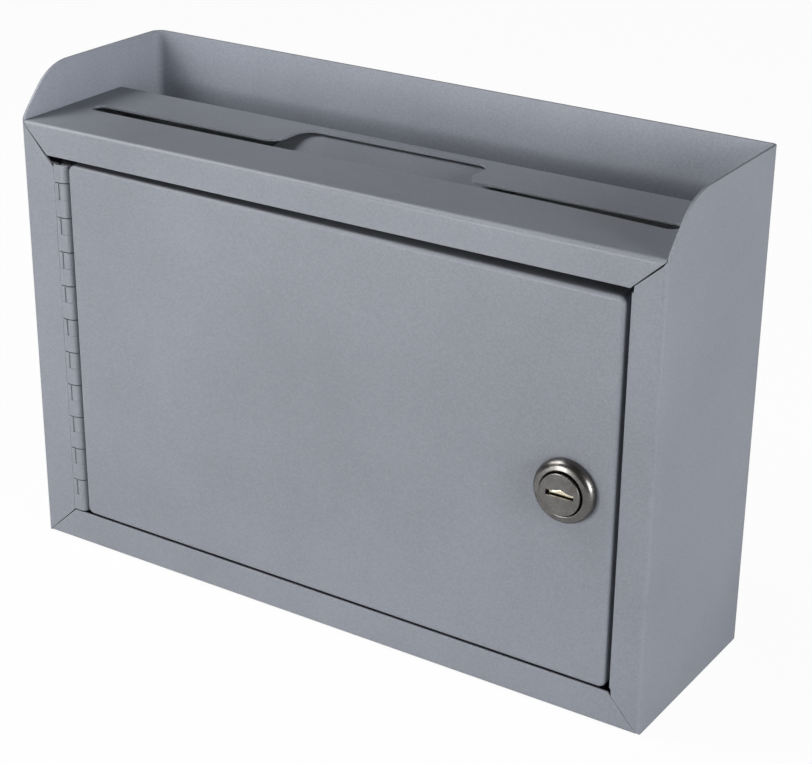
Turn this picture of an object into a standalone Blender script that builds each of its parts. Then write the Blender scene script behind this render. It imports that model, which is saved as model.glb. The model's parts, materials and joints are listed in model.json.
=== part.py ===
"""Wall-hung steel drop box with a paper slot, a forms pocket and a hinged, locking front door.

Lengths are in millimetres until a mesh is made. X runs from the middle of the box to its right,
Y from the plane of the front frame to the back, and Z up from the floor. The whole box is then
shifted along Y so that its outer box, lock face included, is centred on the origin.
"""

import math

import bmesh
import bpy
import numpy as np
from mathutils import Matrix, Vector

MM = 0.001

# Cabinet
WIDTH = 247.65
DEPTH = 73.5
HEIGHT = 176.5
DECK_Z = 160.2
SHEET = 0.9
BEND_R = 1.8
GAP = 0.3
LEFT = -WIDTH / 2
RIGHT = WIDTH / 2

# Front frame: stile widths at the sides, rail heights at the top and the bottom
LEFT_STILE = 13.5
RIGHT_STILE = 11.45
SILL_TOP = 12.5
HEAD_LOW = 149.5
RETURN_DEPTH = 11.5
RETURN_R = 1.1
MITRE_END = 10.6
MITRE_STEP_LEFT = 4.8
MITRE_STEP_RIGHT = 1.3
STILE_CUT_DEPTH = 2.0
SILL_MITRE = 1.2

# Rise of the deck and head rail from the left end to the right, as they sit in this box
TILT = 1.0
HEAD_LOW_LEFT = HEAD_LOW - TILT / 2
HEAD_LOW_RIGHT = HEAD_LOW + TILT / 2

# Wings beside the deck: a straight slope from the front corner, then an arc into the level top
WING_SLOPE = math.radians(47.4)
WING_R = 21.4

# Paper slot and thumb notch in the deck, both centred across the box
SLOT_HALF = 112.9
SLOT_FRONT = 24.8
SLOT_REAR = 30.5
SLOT_BOW = 1.0
NOTCH_HALF = 37.0
NOTCH_REAR = 47.3
NOTCH_R = 6.0
MOUTH_R = 5.5
DECK_REAR = 52.5
FOOT = 10.0
FOLD_R = 1.2
REAR_FLANGE = 11.0

# Guard plate under the notch
GUARD_HALF = 42.8
GUARD_FRONT = 22.5
GUARD_DROP = 6.2
GUARD_LEG = 22.0
GUARD_LIP = (2.5, 3.0)
GUARD_R = (1.5, 1.3)

# Keyholes in the back
KEYHOLE_SPACING = 152.4
KEYHOLE_Z = 128.0
KEYHOLE_RISE = 9.5
KEYHOLE_HEAD_R = 4.6
KEYHOLE_NECK_R = 2.3

# Piano hinge
KNUCKLES = 21
PITCH = 6.35
HINGE_LOW = 13.0
HINGE_X = LEFT + 16.5
BARREL_R = 2.6
LEAF = 1.0
HINGE_Y = BARREL_R
PIN_R = 1.3
LEAF_BACK = 11.5
LEAF_INSET = 2.5
FRAME_ROLL_END = 150
DOOR_ROLL_END = -293

# Door
DOOR_LEFT = LEFT + 19.5
DOOR_RIGHT = LEFT + 235.2
DOOR_LOW = 12.95
DOOR_TOP_LEFT = 147.2
DOOR_TOP_RIGHT = 146.4
DOOR_FLANGE = 9.0
DOOR_R = 2.0

# Cam lock
LOCK_X = LEFT + 218.1
LOCK_Z = 79.3
BEZEL_R = 10.8
BEZEL_PROUD = 4.05
PLUG_R = 7.1
PLUG_PROUD = 4.6
BORE_R = 7.4
BARREL_END = 11.0
THREAD_R = 9.3
THREAD_FLAT = 8.4
WAFERS = 4
WAFER_FIRST = -0.4
WAFER_PITCH = 1.9
WAFER_THICK = 0.8
WAFER_CODE = (0.3, -0.25, 0.1, -0.35)
KEYWAY_HALF = 4.9
KEYWAY_LOW = -0.9
KEYWAY_BULGE = 0.9
KEYWAY_BULGE_HALF = 3.1
KEYWAY_END = 6.4
TANG_HALF = 4.0
TANG_END = 14.2
SHUTTER_Y = -3.25
SHUTTER_Z = 0.3
SHUTTER_THICK = 0.5
WAFER_HALF = (6.1, 3.0)
WAFER_SLOT_HALF_Z = 3.3
WINDOW_HALF = 4.1
WINDOW_Z = (-1.2, 2.0)
NUT_HALF = 11.0
NUT_Y = (2.3, 5.3)
WASHER_R = 12.2
WASHER_THICK = 0.8
STOP_R = 7.6
STOP_LUG = 1.2
SCREW_BORE_R = 1.9
SCREW_R = 1.6
SCREW_HEAD_R = 4.2
SCREW_HEAD = 2.2
RECESS_HALF = (2.4, 0.5)
RECESS_DEPTH = 1.2
CAM_WASHER_R = 6.8
CAM_Y = 12.3
CAM_THICK = 1.6
CAM_REACH = 24.0
CAM_HALF = 5.5
CAM_HUB_R = 8.6
CAM_TIP_R = 2.5
CAM_SHOULDERS = (4.5, 11.0)

ROUND = 40
FRONT_Y = -(DEPTH - PLUG_PROUD) / 2

BOX = (0.0, 0.0, 0.0)
HINGE = (HINGE_X, HINGE_Y, 0.0)
LOCK = (LOCK_X, 0.0, LOCK_Z)
SHUTTER = (LOCK_X, SHUTTER_Y, LOCK_Z + SHUTTER_Z)

# Base colour, roughness, metallic
FINISHES = {
    "grey_paint": ((0.27, 0.29, 0.33, 1.0), 0.45, 0.0),
    "satin_nickel": ((0.55, 0.52, 0.48, 1.0), 0.3, 1.0),
    "bright_brass": ((0.78, 0.62, 0.34, 1.0), 0.25, 1.0),
    "zinc_steel": ((0.6, 0.62, 0.63, 1.0), 0.35, 1.0),
}


# ---------------------------------------------------------------- outlines


def arc(centre, radius, start, stop, steps):
    """Points on a circle's arc, from one angle to another in degrees."""
    angles = np.radians(np.linspace(start, stop, steps + 1))
    return np.array(centre) + radius * np.column_stack([np.cos(angles), np.sin(angles)])


def folded(corners, radii, thickness, steps=5):
    """Closed outline of a sheet that follows a polyline, rounded at each inner corner.

    The polyline is one face of the sheet, and the sheet lies on the right of its direction.
    """
    corners = np.array(corners, float)
    points, normals = [], []
    for i, corner in enumerate(corners):
        before = corner - corners[i - 1] if i else corners[1] - corner
        after = corners[i + 1] - corner if i < len(corners) - 1 else before
        before, after = before / np.hypot(*before), after / np.hypot(*after)
        turn = math.atan2(before[0] * after[1] - before[1] * after[0], before @ after)
        if i in (0, len(corners) - 1) or abs(turn) < 1e-6:
            points.append(corner)
            normals.append((before[1], -before[0]))
            continue
        radius = radii[i - 1]
        start = corner - before * radius * math.tan(abs(turn) / 2)
        side = math.copysign(1.0, turn)
        centre = start + side * radius * np.array((-before[1], before[0]))
        for step in range(steps + 1):
            angle = math.atan2(before[1], before[0]) + turn * step / steps
            right = np.array((math.sin(angle), -math.cos(angle)))
            points.append(centre + side * radius * right)
            normals.append(right)
    points, normals = np.array(points), np.array(normals)
    return np.vstack([points, (points + normals * thickness)[::-1]])


def double_d(radius, flat):
    """A circle with two flats, left and right."""
    circle = arc((0, 0), radius, 0, 360, ROUND)[:-1]
    circle[:, 0] = np.clip(circle[:, 0], -flat, flat)
    return circle


def keyway_outline(inset):
    """The key's outline: a flat slot with a low hump in the middle of its upper edge."""
    half = KEYWAY_HALF - inset
    across = np.linspace(-KEYWAY_BULGE_HALF, KEYWAY_BULGE_HALF, 11)
    hump = KEYWAY_BULGE * (0.5 + 0.5 * np.cos(math.pi * across / KEYWAY_BULGE_HALF))
    upper = np.column_stack([across, -KEYWAY_LOW - inset + hump])
    low, top = KEYWAY_LOW + inset, -KEYWAY_LOW - inset
    return np.vstack([[(-half, low), (-half, top)], upper, [(half, top), (half, low)]])


def slot_outline():
    """The paper slot: round ends, and a front edge that bows in a little in the middle."""
    middle = (SLOT_FRONT + SLOT_REAR) / 2
    end_r = (SLOT_REAR - SLOT_FRONT) / 2
    straight = SLOT_HALF - end_r
    across = np.linspace(-straight, straight, 13)
    bow = np.cos(across / straight * math.pi / 2)
    front = np.column_stack([across, SLOT_FRONT + SLOT_BOW * bow])
    rear = np.column_stack([across, np.full_like(across, SLOT_REAR)])
    right_end = arc((straight, middle), end_r, -90, 90, 8)[1:-1]
    left_end = arc((-straight, middle), end_r, 90, 270, 8)[1:-1]
    return np.vstack([front, right_end, rear[::-1], left_end])


def notch_outline():
    """The thumb notch behind the slot: round shoulders at its mouth and round rear corners."""
    mouth_y = SLOT_REAR - 0.6
    shoulder = NOTCH_HALF + MOUTH_R
    right = np.vstack([
        arc((shoulder, mouth_y + MOUTH_R), MOUTH_R, 270, 180, 6),
        arc((NOTCH_HALF - NOTCH_R, NOTCH_REAR - NOTCH_R), NOTCH_R, 0, 90, 6),
    ])
    left = right[::-1] * (-1, 1)
    return np.vstack([[(shoulder, mouth_y - 2.0)], right, left, [(-shoulder, mouth_y - 2.0)]])


def wing_outline():
    """Side view of what is cut away above the wings' edge, from in front of the box to behind it."""
    rise = WING_R * (1 - math.cos(WING_SLOPE))
    run = (HEIGHT - DECK_Z - rise) / math.tan(WING_SLOPE)
    end = run + WING_R * math.sin(WING_SLOPE)
    shoulder = arc((end, HEIGHT - WING_R), WING_R, 90 + math.degrees(WING_SLOPE), 90, 8)
    return np.vstack([[(-5, DECK_Z), (0, DECK_Z)], shoulder, [(end, HEIGHT + 5), (-5, HEIGHT + 5)]])


def knuckle_span(index):
    """Lowest and highest Z of a knuckle, with half the running gap taken off each end."""
    low = HINGE_LOW + index * PITCH
    return low + GAP / 2, low + PITCH - GAP / 2


# ---------------------------------------------------------------- meshes


def mesh_from(name, points, faces):
    """A mesh in metres whose faces all point outwards."""
    mesh = bpy.data.meshes.new(name)
    mesh.from_pydata([Vector(p) * MM for p in points], [], faces)
    work = bmesh.new()
    work.from_mesh(mesh)
    bmesh.ops.recalc_face_normals(work, faces=work.faces)
    work.to_mesh(mesh)
    work.free()
    return mesh


def prism(name, outline, axis, low, high):
    """A closed outline carried along X, Y or Z. Its two coordinates are the other axes, in order."""
    column = "XYZ".index(axis)
    count = len(outline)
    levels = np.repeat((low, high), count)
    points = np.insert(np.vstack([outline, outline]), column, levels, axis=1)
    sides = [(i, (i + 1) % count, count + (i + 1) % count, count + i) for i in range(count)]
    caps = [tuple(range(count)), tuple(range(count, 2 * count))]
    return mesh_from(name, points, sides + caps)


def block(name, low, high):
    """A box between two corners."""
    (x0, y0, z0), (x1, y1, z1) = low, high
    return prism(name, [(x0, y0), (x1, y0), (x1, y1), (x0, y1)], "Z", z0, z1)


def turned(name, profile, axis_at, steps=ROUND):
    """A profile of radius and depth turned about the Y axis through axis_at.

    Its ends may touch the axis. A profile that stays clear of it is closed into a ring.
    """
    x, y, z = axis_at
    points, rings = [], []
    for radius, depth in profile:
        if radius == 0:
            rings.append([len(points)] * steps)
            points.append((x, y + depth, z))
            continue
        rings.append(list(range(len(points), len(points) + steps)))
        for dx, dz in arc((0, 0), radius, 0, 360, steps)[:-1]:
            points.append((x + dx, y + depth, z + dz))
    closed_profile = profile[0][0] > 0
    pairs = zip(rings, rings[1:] + rings[:1]) if closed_profile else zip(rings, rings[1:])
    faces = []
    for near, far in pairs:
        for i in range(steps):
            j = (i + 1) % steps
            corners = [near[i], near[j], far[j], far[i]]
            faces.append(tuple(dict.fromkeys(corners)))
    return mesh_from(name, points, faces)


def tilted(mesh):
    """Raises a mesh towards the right as the deck rises, but leaves its low part as it is."""
    for vertex in mesh.vertices:
        if vertex.co.z > DECK_Z / 2 * MM:
            vertex.co.z += vertex.co.x / WIDTH * TILT
    return mesh


def joined(name, meshes):
    """Several separate bodies in one mesh."""
    work = bmesh.new()
    for mesh in meshes:
        work.from_mesh(mesh)
        bpy.data.meshes.remove(mesh)
    whole = bpy.data.meshes.new(name)
    work.to_mesh(whole)
    work.free()
    return whole


# ---------------------------------------------------------------- objects


def material(finish):
    """The Principled material of a finish, made once."""
    made = bpy.data.materials.get(finish)
    if made:
        return made
    colour, roughness, metallic = FINISHES[finish]
    made = bpy.data.materials.new(finish)
    made.use_nodes = True
    shader = made.node_tree.nodes["Principled BSDF"]
    shader.inputs["Base Color"].default_value = colour
    shader.inputs["Roughness"].default_value = roughness
    shader.inputs["Metallic"].default_value = metallic
    return made


def pivot(name, at, parent=None, parent_at=None):
    """An empty on a joint's axis."""
    empty = bpy.data.objects.new(name, None)
    bpy.context.scene.collection.objects.link(empty)
    base = parent_at if parent_at is not None else BOX
    empty.location = (Vector(at) - Vector(base)) * MM
    empty.parent = parent
    return empty, at


def add(name, mesh, finish, holder, smooth=False):
    """A named piece under an empty, with its origin on that empty."""
    empty, at = holder
    mesh.transform(Matrix.Translation(-Vector(at) * MM))
    piece = bpy.data.objects.new(name, mesh)
    bpy.context.scene.collection.objects.link(piece)
    piece.parent = empty
    if finish:
        mesh.materials.append(material(finish))
    if smooth:
        mesh.shade_smooth()
        mesh.set_sharp_from_angle(angle=math.radians(35))
    return piece


def boolean(piece, holder, mesh, operation):
    """Cuts a helper mesh from a piece, or joins it on."""
    helper = add(f"{piece.name}_{operation.lower()}_{len(piece.modifiers)}", mesh, None, holder)
    helper.hide_render = True
    helper.display_type = "WIRE"
    change = piece.modifiers.new(operation.title(), "BOOLEAN")
    change.operation = operation
    change.object = helper
    return helper


def edge_round(piece, width, segments, wanted):
    """A bevel on the edges for which wanted(a, b) is true, in millimetres of the box."""
    mesh = piece.data
    weights = mesh.attributes.new("bevel_weight_edge", "FLOAT", "EDGE")
    for edge in mesh.edges:
        ends = [mesh.vertices[v].co / MM for v in edge.vertices]
        weights.data[edge.index].value = 1.0 if wanted(*ends) else 0.0
    bevel = piece.modifiers.new("Bend", "BEVEL")
    bevel.limit_method = "WEIGHT"
    bevel.width = width * MM
    bevel.segments = segments
    return bevel


# ---------------------------------------------------------------- cabinet


def mitre_cuts():
    """What the front stiles lose at their four ends, so that the rails can meet them on a slant."""
    left_in, right_in = LEFT + LEFT_STILE, RIGHT - RIGHT_STILE
    left_wall, right_wall = LEFT + SHEET - 0.1, RIGHT - SHEET + 0.1
    above, seam = HEIGHT + 1, DECK_Z - GAP
    top_left = [
        (left_wall, above),
        (left_wall, seam),
        (LEFT, seam),
        (LEFT + MITRE_END, HEAD_LOW_LEFT - GAP),
        (left_in + 1, HEAD_LOW_LEFT - MITRE_STEP_LEFT),
        (left_in + 1, above),
    ]
    top_right = [
        (right_wall, above),
        (right_wall, seam),
        (RIGHT, seam),
        (right_in, HEAD_LOW_RIGHT - GAP),
        (right_in - 1, HEAD_LOW_RIGHT - MITRE_STEP_RIGHT),
        (right_in - 1, above),
    ]
    cuts = [prism("mitre", top, "Y", -1, STILE_CUT_DEPTH) for top in (top_left, top_right)]
    for edge, inner, inward in ((LEFT, left_in, 1), (RIGHT, right_in, -1)):
        low = [
            (edge - inward, -1),
            (edge, GAP),
            (inner, SILL_TOP + GAP),
            (inner + inward, SILL_TOP),
            (inner + inward, -1),
        ]
        cuts.append(prism("mitre", low, "Y", -1, STILE_CUT_DEPTH))
    near, far = right_in - SHEET / 2, right_in + 2 * SHEET
    front, rear = STILE_CUT_DEPTH - 0.1, RETURN_DEPTH + 2
    cuts.append(block("return_top", (near, front, HEAD_LOW_RIGHT - 1.5), (far, rear, above)))
    cuts.append(block("return_low", (near, front, -1), (far, rear, SILL_TOP + 1.5)))
    return cuts


def keyhole(x):
    """A round head hole with a narrow neck above it, through the back."""
    neck = arc((x, KEYHOLE_Z + KEYHOLE_RISE), KEYHOLE_NECK_R, 0, 180, 8)
    spread = math.degrees(math.asin(KEYHOLE_NECK_R / KEYHOLE_HEAD_R))
    head = arc((x, KEYHOLE_Z), KEYHOLE_HEAD_R, 90 + spread, 450 - spread, 18)
    return prism("keyhole", np.vstack([neck, head]), "Y", DEPTH - 3, DEPTH + 2)


def body_wrap(holder):
    """Back, both sides with their wings, and both front stiles: one sheet folded in plan."""
    left_in, right_in = LEFT + LEFT_STILE, RIGHT - RIGHT_STILE
    plan = [(left_in, 0), (LEFT, 0), (LEFT, DEPTH), (RIGHT, DEPTH), (RIGHT, 0)]
    plan += [(right_in, 0), (right_in, RETURN_DEPTH)]
    outline = folded(plan, [BEND_R] * 4 + [RETURN_R], SHEET)
    piece = add("body_wrap", prism("body_wrap", outline, "Z", 0, HEIGHT), "grey_paint", holder)
    boolean(piece, holder, prism("wing_line", wing_outline(), "X", LEFT - 5, RIGHT + 5), "DIFFERENCE")
    for cutter in mitre_cuts():
        boolean(piece, holder, cutter, "DIFFERENCE")
    holes = [keyhole(side * KEYHOLE_SPACING / 2) for side in (-1, 1)]
    boolean(piece, holder, joined("keyholes", holes), "DIFFERENCE")


def rail_end(side, inner, inset, outer):
    """Cutter for a front rail's slanted end.

    side is -1 on the left and 1 on the right. The slant runs from the inset at height inner to
    nearly the box's edge at height outer, and below or above inner it goes straight on.
    """
    edge = side * WIDTH / 2
    away = math.copysign(1.0, inner - outer)
    at_edge = edge - side * (0.2 if away < 0 else SILL_MITRE)
    outline = [
        (edge + side * 5, inner + away),
        (edge - side * inset, inner + away),
        (edge - side * inset, inner),
        (at_edge, outer),
        (edge + side * 5, outer),
    ]
    return prism("rail_end", outline, "Y", -1, SHEET + GAP)


def top_sheet(holder):
    """Head rail, deck, and the wall between the deposit chamber and the forms pocket: one folded sheet."""
    foot_z = SHEET + GAP
    side = [(0, HEAD_LOW), (0, DECK_Z), (DECK_REAR, DECK_Z)]
    side += [(DECK_REAR, foot_z), (DECK_REAR - FOOT, foot_z)]
    outline = folded(side, [BEND_R, FOLD_R, FOLD_R], SHEET)
    half = WIDTH / 2 - SHEET - GAP
    sheet = tilted(prism("top_sheet", outline, "X", -half, half))
    piece = add("top_sheet", sheet, "grey_paint", holder)
    for name, opening in (("slot", slot_outline()), ("notch", notch_outline())):
        boolean(piece, holder, prism(name, opening, "Z", DECK_Z - 4, DECK_Z + 2), "DIFFERENCE")
    boolean(piece, holder, rail_end(-1, HEAD_LOW_LEFT, MITRE_END + 0.2, DECK_Z), "DIFFERENCE")
    boolean(piece, holder, rail_end(1, HEAD_LOW_RIGHT, RIGHT_STILE + 4 * GAP, DECK_Z), "DIFFERENCE")


def chute_guard(holder):
    """Bent plate under the notch: a leg on the chamber's rear wall and a slope down under the slot."""
    back = DECK_REAR - SHEET - GAP
    top = DECK_Z - SHEET - GAP
    front = top - GUARD_DROP
    lip_run, lip_drop = GUARD_LIP
    side = [(GUARD_FRONT - lip_run, front - lip_drop), (GUARD_FRONT, front)]
    side += [(back, top), (back, top - GUARD_LEG)]
    outline = folded(side, GUARD_R, SHEET)
    plate = tilted(prism("chute_guard", outline, "X", -GUARD_HALF, GUARD_HALF))
    add("chute_guard", plate, "grey_paint", holder)


def floor_pan(holder):
    """Sill rail, floor and the upright flange along the back: one folded sheet."""
    back = DEPTH - SHEET - GAP
    side = [(back, REAR_FLANGE), (back, 0), (0, 0), (0, SILL_TOP)]
    outline = folded(side, [FOLD_R, BEND_R], SHEET)
    half = WIDTH / 2 - SHEET - GAP
    sheet = prism("floor_pan", outline, "X", -half, half)
    piece = add("floor_pan", sheet, "grey_paint", holder)
    for end, stile in ((-1, LEFT_STILE), (1, RIGHT_STILE)):
        boolean(piece, holder, rail_end(end, SILL_TOP, stile + 2 * GAP, GAP), "DIFFERENCE")


# ---------------------------------------------------------------- hinge


def knuckle_windows(taken, x_from, x_to, y_from, y_to):
    """Blocks over the other leaf's knuckles, which cut them out of this one. taken is 0 or 1."""
    blocks = []
    for index in range(taken, KNUCKLES, 2):
        low, high = knuckle_span(index)
        blocks.append(block("window", (x_from, y_from, low - GAP), (x_to, y_to, high + GAP)))
    return joined("windows", blocks)


def leaf_outline(flat, start, stop):
    """A leaf that runs along flat, then rolls round the pin from one angle to another."""
    centre = (HINGE_X, HINGE_Y)
    outer = np.vstack([flat, arc(centre, BARREL_R, start, stop, 18)])
    inward = arc(centre, BARREL_R - LEAF, stop, start, 18)
    return outer, inward


def hinge_frame_leaf(holder):
    """The leaf behind the left stile. It steps forward, level with the stile, and rolls round the pin."""
    step_x = LEFT + LEFT_STILE
    behind = SHEET + GAP
    start = LEFT + LEAF_INSET
    outer_flat = [(start, behind), (step_x + GAP, behind), (step_x + GAP, 0)]
    outer, inward = leaf_outline(outer_flat, -90, FRAME_ROLL_END)
    inner_flat = [(step_x + 1.4, LEAF), (step_x + 0.9, behind + LEAF), (start, behind + LEAF)]
    outline = np.vstack([outer, inward, inner_flat])
    low, high = knuckle_span(0)[0], knuckle_span(KNUCKLES - 1)[1]
    leaf = prism("leaf", outline, "Z", low, high)
    piece = add("hinge_frame_leaf", leaf, "grey_paint", holder, smooth=True)
    windows = knuckle_windows(1, step_x - 0.4, HINGE_X + 5, -1, HINGE_Y + 5)
    boolean(piece, holder, windows, "DIFFERENCE")


def hinge_door_leaf(holder):
    """The leaf along the door's left flange, rolled round the pin the other way."""
    face = HINGE_X + BARREL_R
    outer, inward = leaf_outline([(face, LEAF_BACK)], 0, DOOR_ROLL_END)
    outline = np.vstack([outer, inward, [(face - LEAF, LEAF_BACK)]])
    low, high = knuckle_span(1)[0], knuckle_span(KNUCKLES - 2)[1]
    leaf = prism("leaf", outline, "Z", low, high)
    piece = add("hinge_door_leaf", leaf, "grey_paint", holder, smooth=True)
    windows = knuckle_windows(0, HINGE_X - 5, face + 1, -1, HINGE_Y + BARREL_R + GAP)
    boolean(piece, holder, windows, "DIFFERENCE")


def hinge_pin(holder):
    """The wire that both leaves are rolled round."""
    low, high = HINGE_LOW - 0.2, HINGE_LOW + KNUCKLES * PITCH + 0.2
    wire = prism("hinge_pin", arc((HINGE_X, HINGE_Y), PIN_R, 0, 360, 20)[:-1], "Z", low, high)
    add("hinge_pin", wire, "zinc_steel", holder, smooth=True)


# ---------------------------------------------------------------- door


def door_block(inset, back):
    """The door's outer block, or with an inset the space inside its skin."""
    low, front = DOOR_LOW + inset, inset
    outline = [
        (DOOR_LEFT + inset, low),
        (DOOR_RIGHT - inset, low),
        (DOOR_RIGHT - inset, DOOR_TOP_RIGHT - inset),
        (DOOR_LEFT + inset, DOOR_TOP_LEFT - inset),
    ]
    return prism("door", outline, "Y", front, back)


def door_panel(holder):
    """A shallow pan: the face, and a flange folded back along each side, with the lock's hole."""
    back = DOOR_FLANGE - 1 - HINGE_Y

    def bent(a, b):
        return min(a.y, b.y) < back

    piece = add("door_panel", door_block(0, DOOR_FLANGE), "grey_paint", holder)
    edge_round(piece, DOOR_R, 4, bent)
    hollow = boolean(piece, holder, door_block(SHEET, DOOR_FLANGE + 2), "DIFFERENCE")
    edge_round(hollow, DOOR_R - SHEET, 4, bent)
    hole = double_d(THREAD_R + GAP, THREAD_FLAT + GAP) + (LOCK_X, LOCK_Z)
    boolean(piece, holder, prism("lock_hole", hole, "Y", -2, 4), "DIFFERENCE")


# ---------------------------------------------------------------- lock


def lock_housing(holder):
    """The domed bezel on the door's face and the threaded barrel through it, bored for the plug."""
    inner = BORE_R - 1.0
    dome = [
        (inner, -GAP),
        (inner, -BEZEL_PROUD + 0.5),
        (BORE_R + 0.1, -BEZEL_PROUD + 0.35),
        (BORE_R + 0.5, -BEZEL_PROUD + 0.02),
        (BORE_R + 0.9, -BEZEL_PROUD),
        (BEZEL_R - 1.5, -BEZEL_PROUD + 0.45),
        (BEZEL_R - 0.7, -BEZEL_PROUD + 1.15),
        (BEZEL_R - 0.2, -BEZEL_PROUD + 2.2),
        (BEZEL_R, -BEZEL_PROUD + 3.2),
        (BEZEL_R, -GAP),
    ]
    bezel = turned("lock_housing", dome, LOCK)
    piece = add("lock_housing", bezel, "satin_nickel", holder, smooth=True)
    barrel = double_d(THREAD_R, THREAD_FLAT) + (LOCK_X, LOCK_Z)
    boolean(piece, holder, prism("barrel", barrel, "Y", -0.8, BARREL_END), "UNION")
    bore = arc((LOCK_X, LOCK_Z), BORE_R, 0, 360, ROUND)[:-1]
    boolean(piece, holder, prism("bore", bore, "Y", -BEZEL_PROUD - 2, BARREL_END + 2), "DIFFERENCE")


def ring(name, inner, outer, low, high, finish, holder):
    """A flat washer on the lock's axis."""
    profile = [(inner, low), (outer, low), (outer, high), (inner, high)]
    return add(name, turned(name, profile, LOCK), finish, holder, smooth=True)


def lock_nut(holder):
    """The hexagon nut that draws the bezel against the door."""
    corner_r = NUT_HALF / math.cos(math.radians(30))
    low, high = NUT_Y
    outline = arc((LOCK_X, LOCK_Z), corner_r, 0, 360, 6)[:-1]
    piece = add("lock_nut", prism("lock_nut", outline, "Y", low, high), "zinc_steel", holder)
    bore = arc((LOCK_X, LOCK_Z), THREAD_R + GAP, 0, 360, ROUND)[:-1]
    boolean(piece, holder, prism("nut_bore", bore, "Y", low - 1, high + 1), "DIFFERENCE")


def lock_plug(holder):
    """The part that turns: keyway in front, a slot across for each wafer, and a square tang behind."""
    chamfer = 0.35
    profile = [(0, -PLUG_PROUD), (PLUG_R - chamfer, -PLUG_PROUD)]
    profile += [(PLUG_R, chamfer - PLUG_PROUD), (PLUG_R, BARREL_END), (0, BARREL_END)]
    body = turned("lock_plug", profile, LOCK)
    piece = add("lock_plug", body, "satin_nickel", holder, smooth=True)
    tang_low = (LOCK_X - TANG_HALF, BARREL_END - 1, LOCK_Z - TANG_HALF)
    tang_high = (LOCK_X + TANG_HALF, TANG_END, LOCK_Z + TANG_HALF)
    boolean(piece, holder, block("tang", tang_low, tang_high), "UNION")
    keyway = keyway_outline(0) + (LOCK_X, LOCK_Z)
    boolean(piece, holder, prism("keyway", keyway, "Y", -PLUG_PROUD - 1, KEYWAY_END), "DIFFERENCE")
    slots = []
    reach = WAFER_THICK / 2 + GAP
    for index in range(WAFERS):
        y = WAFER_FIRST + index * WAFER_PITCH
        low = (LOCK_X - PLUG_R - 1, y - reach, LOCK_Z - WAFER_SLOT_HALF_Z)
        high = (LOCK_X + PLUG_R + 1, y + reach, LOCK_Z + WAFER_SLOT_HALF_Z)
        slots.append(block("slot", low, high))
    boolean(piece, holder, joined("wafer_slots", slots), "DIFFERENCE")
    bore = arc((LOCK_X, LOCK_Z), SCREW_BORE_R, 0, 360, 16)[:-1]
    boolean(piece, holder, prism("screw_bore", bore, "Y", KEYWAY_END + 1.2, TANG_END + 1), "DIFFERENCE")


def wafer(index, holder):
    """One tumbler: a thin plate with a window that the key passes through."""
    y = WAFER_FIRST + index * WAFER_PITCH
    half_x, half_z = WAFER_HALF
    half_y = WAFER_THICK / 2
    low = (LOCK_X - half_x, y - half_y, LOCK_Z - half_z)
    plate = block("wafer", low, (LOCK_X + half_x, y + half_y, LOCK_Z + half_z))
    piece = add(f"lock_wafer_{index + 1}", plate, "bright_brass", holder)
    middle = LOCK_X + WAFER_CODE[index]
    low = (middle - WINDOW_HALF, y - 1, LOCK_Z + WINDOW_Z[0])
    window = block("window", low, (middle + WINDOW_HALF, y + 1, LOCK_Z + WINDOW_Z[1]))
    boolean(piece, holder, window, "DIFFERENCE")


def key_shutter(holder):
    """The sprung flap that closes the keyway when no key is in it."""
    outline = keyway_outline(GAP) + (LOCK_X, LOCK_Z)
    half = SHUTTER_THICK / 2
    flap = prism("key_shutter", outline, "Y", SHUTTER_Y - half, SHUTTER_Y + half)
    add("key_shutter", flap, "bright_brass", holder)


def square_hole():
    """A square opening that slips over the plug's tang."""
    half = TANG_HALF + GAP
    low = (LOCK_X - half, BARREL_END - 2, LOCK_Z - half)
    return block("square", low, (LOCK_X + half, TANG_END + 2, LOCK_Z + half))


def stop_washer(holder):
    """The disc on the tang whose lug limits the plug's turn."""
    rim = arc((0, 0), STOP_R, 0, 360, 32)[:-1]
    lug = np.abs(np.degrees(np.arctan2(rim[:, 1], rim[:, 0])) + 90) < 25
    rim[lug] *= STOP_LUG
    outline = rim + (LOCK_X, LOCK_Z)
    disc = prism("stop_washer", outline, "Y", BARREL_END + GAP, CAM_Y - GAP)
    piece = add("stop_washer", disc, "zinc_steel", holder)
    boolean(piece, holder, square_hole(), "DIFFERENCE")


def lock_cam(holder):
    """The flat bar that turns behind the right stile's folded edge. It points up when unlocked."""
    hub = arc((0, 0), CAM_HUB_R, 180, 360, 16)
    low, high = CAM_SHOULDERS
    right = [(CAM_HUB_R - 0.6, low), (CAM_HALF, high)]
    tip_at = (CAM_HALF - CAM_TIP_R, CAM_REACH - CAM_TIP_R)
    tip = arc(tip_at, CAM_TIP_R, 0, 90, 4)
    upper = np.vstack([right, tip])
    outline = np.vstack([hub, upper, upper[::-1] * (-1, 1)]) + (LOCK_X, LOCK_Z)
    bar = prism("lock_cam", outline, "Y", CAM_Y, CAM_Y + CAM_THICK)
    piece = add("lock_cam", bar, "zinc_steel", holder)
    boolean(piece, holder, square_hole(), "DIFFERENCE")


def cam_screw(holder):
    """The screw that holds the cam on the tang, with a cross recess in its head."""
    head, tip = TANG_END + 1.2, KEYWAY_END + 1.8
    top = head + SCREW_HEAD
    profile = [(0, tip), (SCREW_R, tip), (SCREW_R, head), (SCREW_HEAD_R, head)]
    profile += [(SCREW_HEAD_R, top - 0.7), (SCREW_HEAD_R - 0.8, top), (0, top)]
    body = turned("cam_screw", profile, LOCK, 24)
    piece = add("cam_screw", body, "zinc_steel", holder, smooth=True)
    long, short = RECESS_HALF
    for half_x, half_z in ((long, short), (short, long)):
        low = (LOCK_X - half_x, top - RECESS_DEPTH, LOCK_Z - half_z)
        high = (LOCK_X + half_x, top + 1, LOCK_Z + half_z)
        boolean(piece, holder, block("recess", low, high), "DIFFERENCE")


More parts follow.
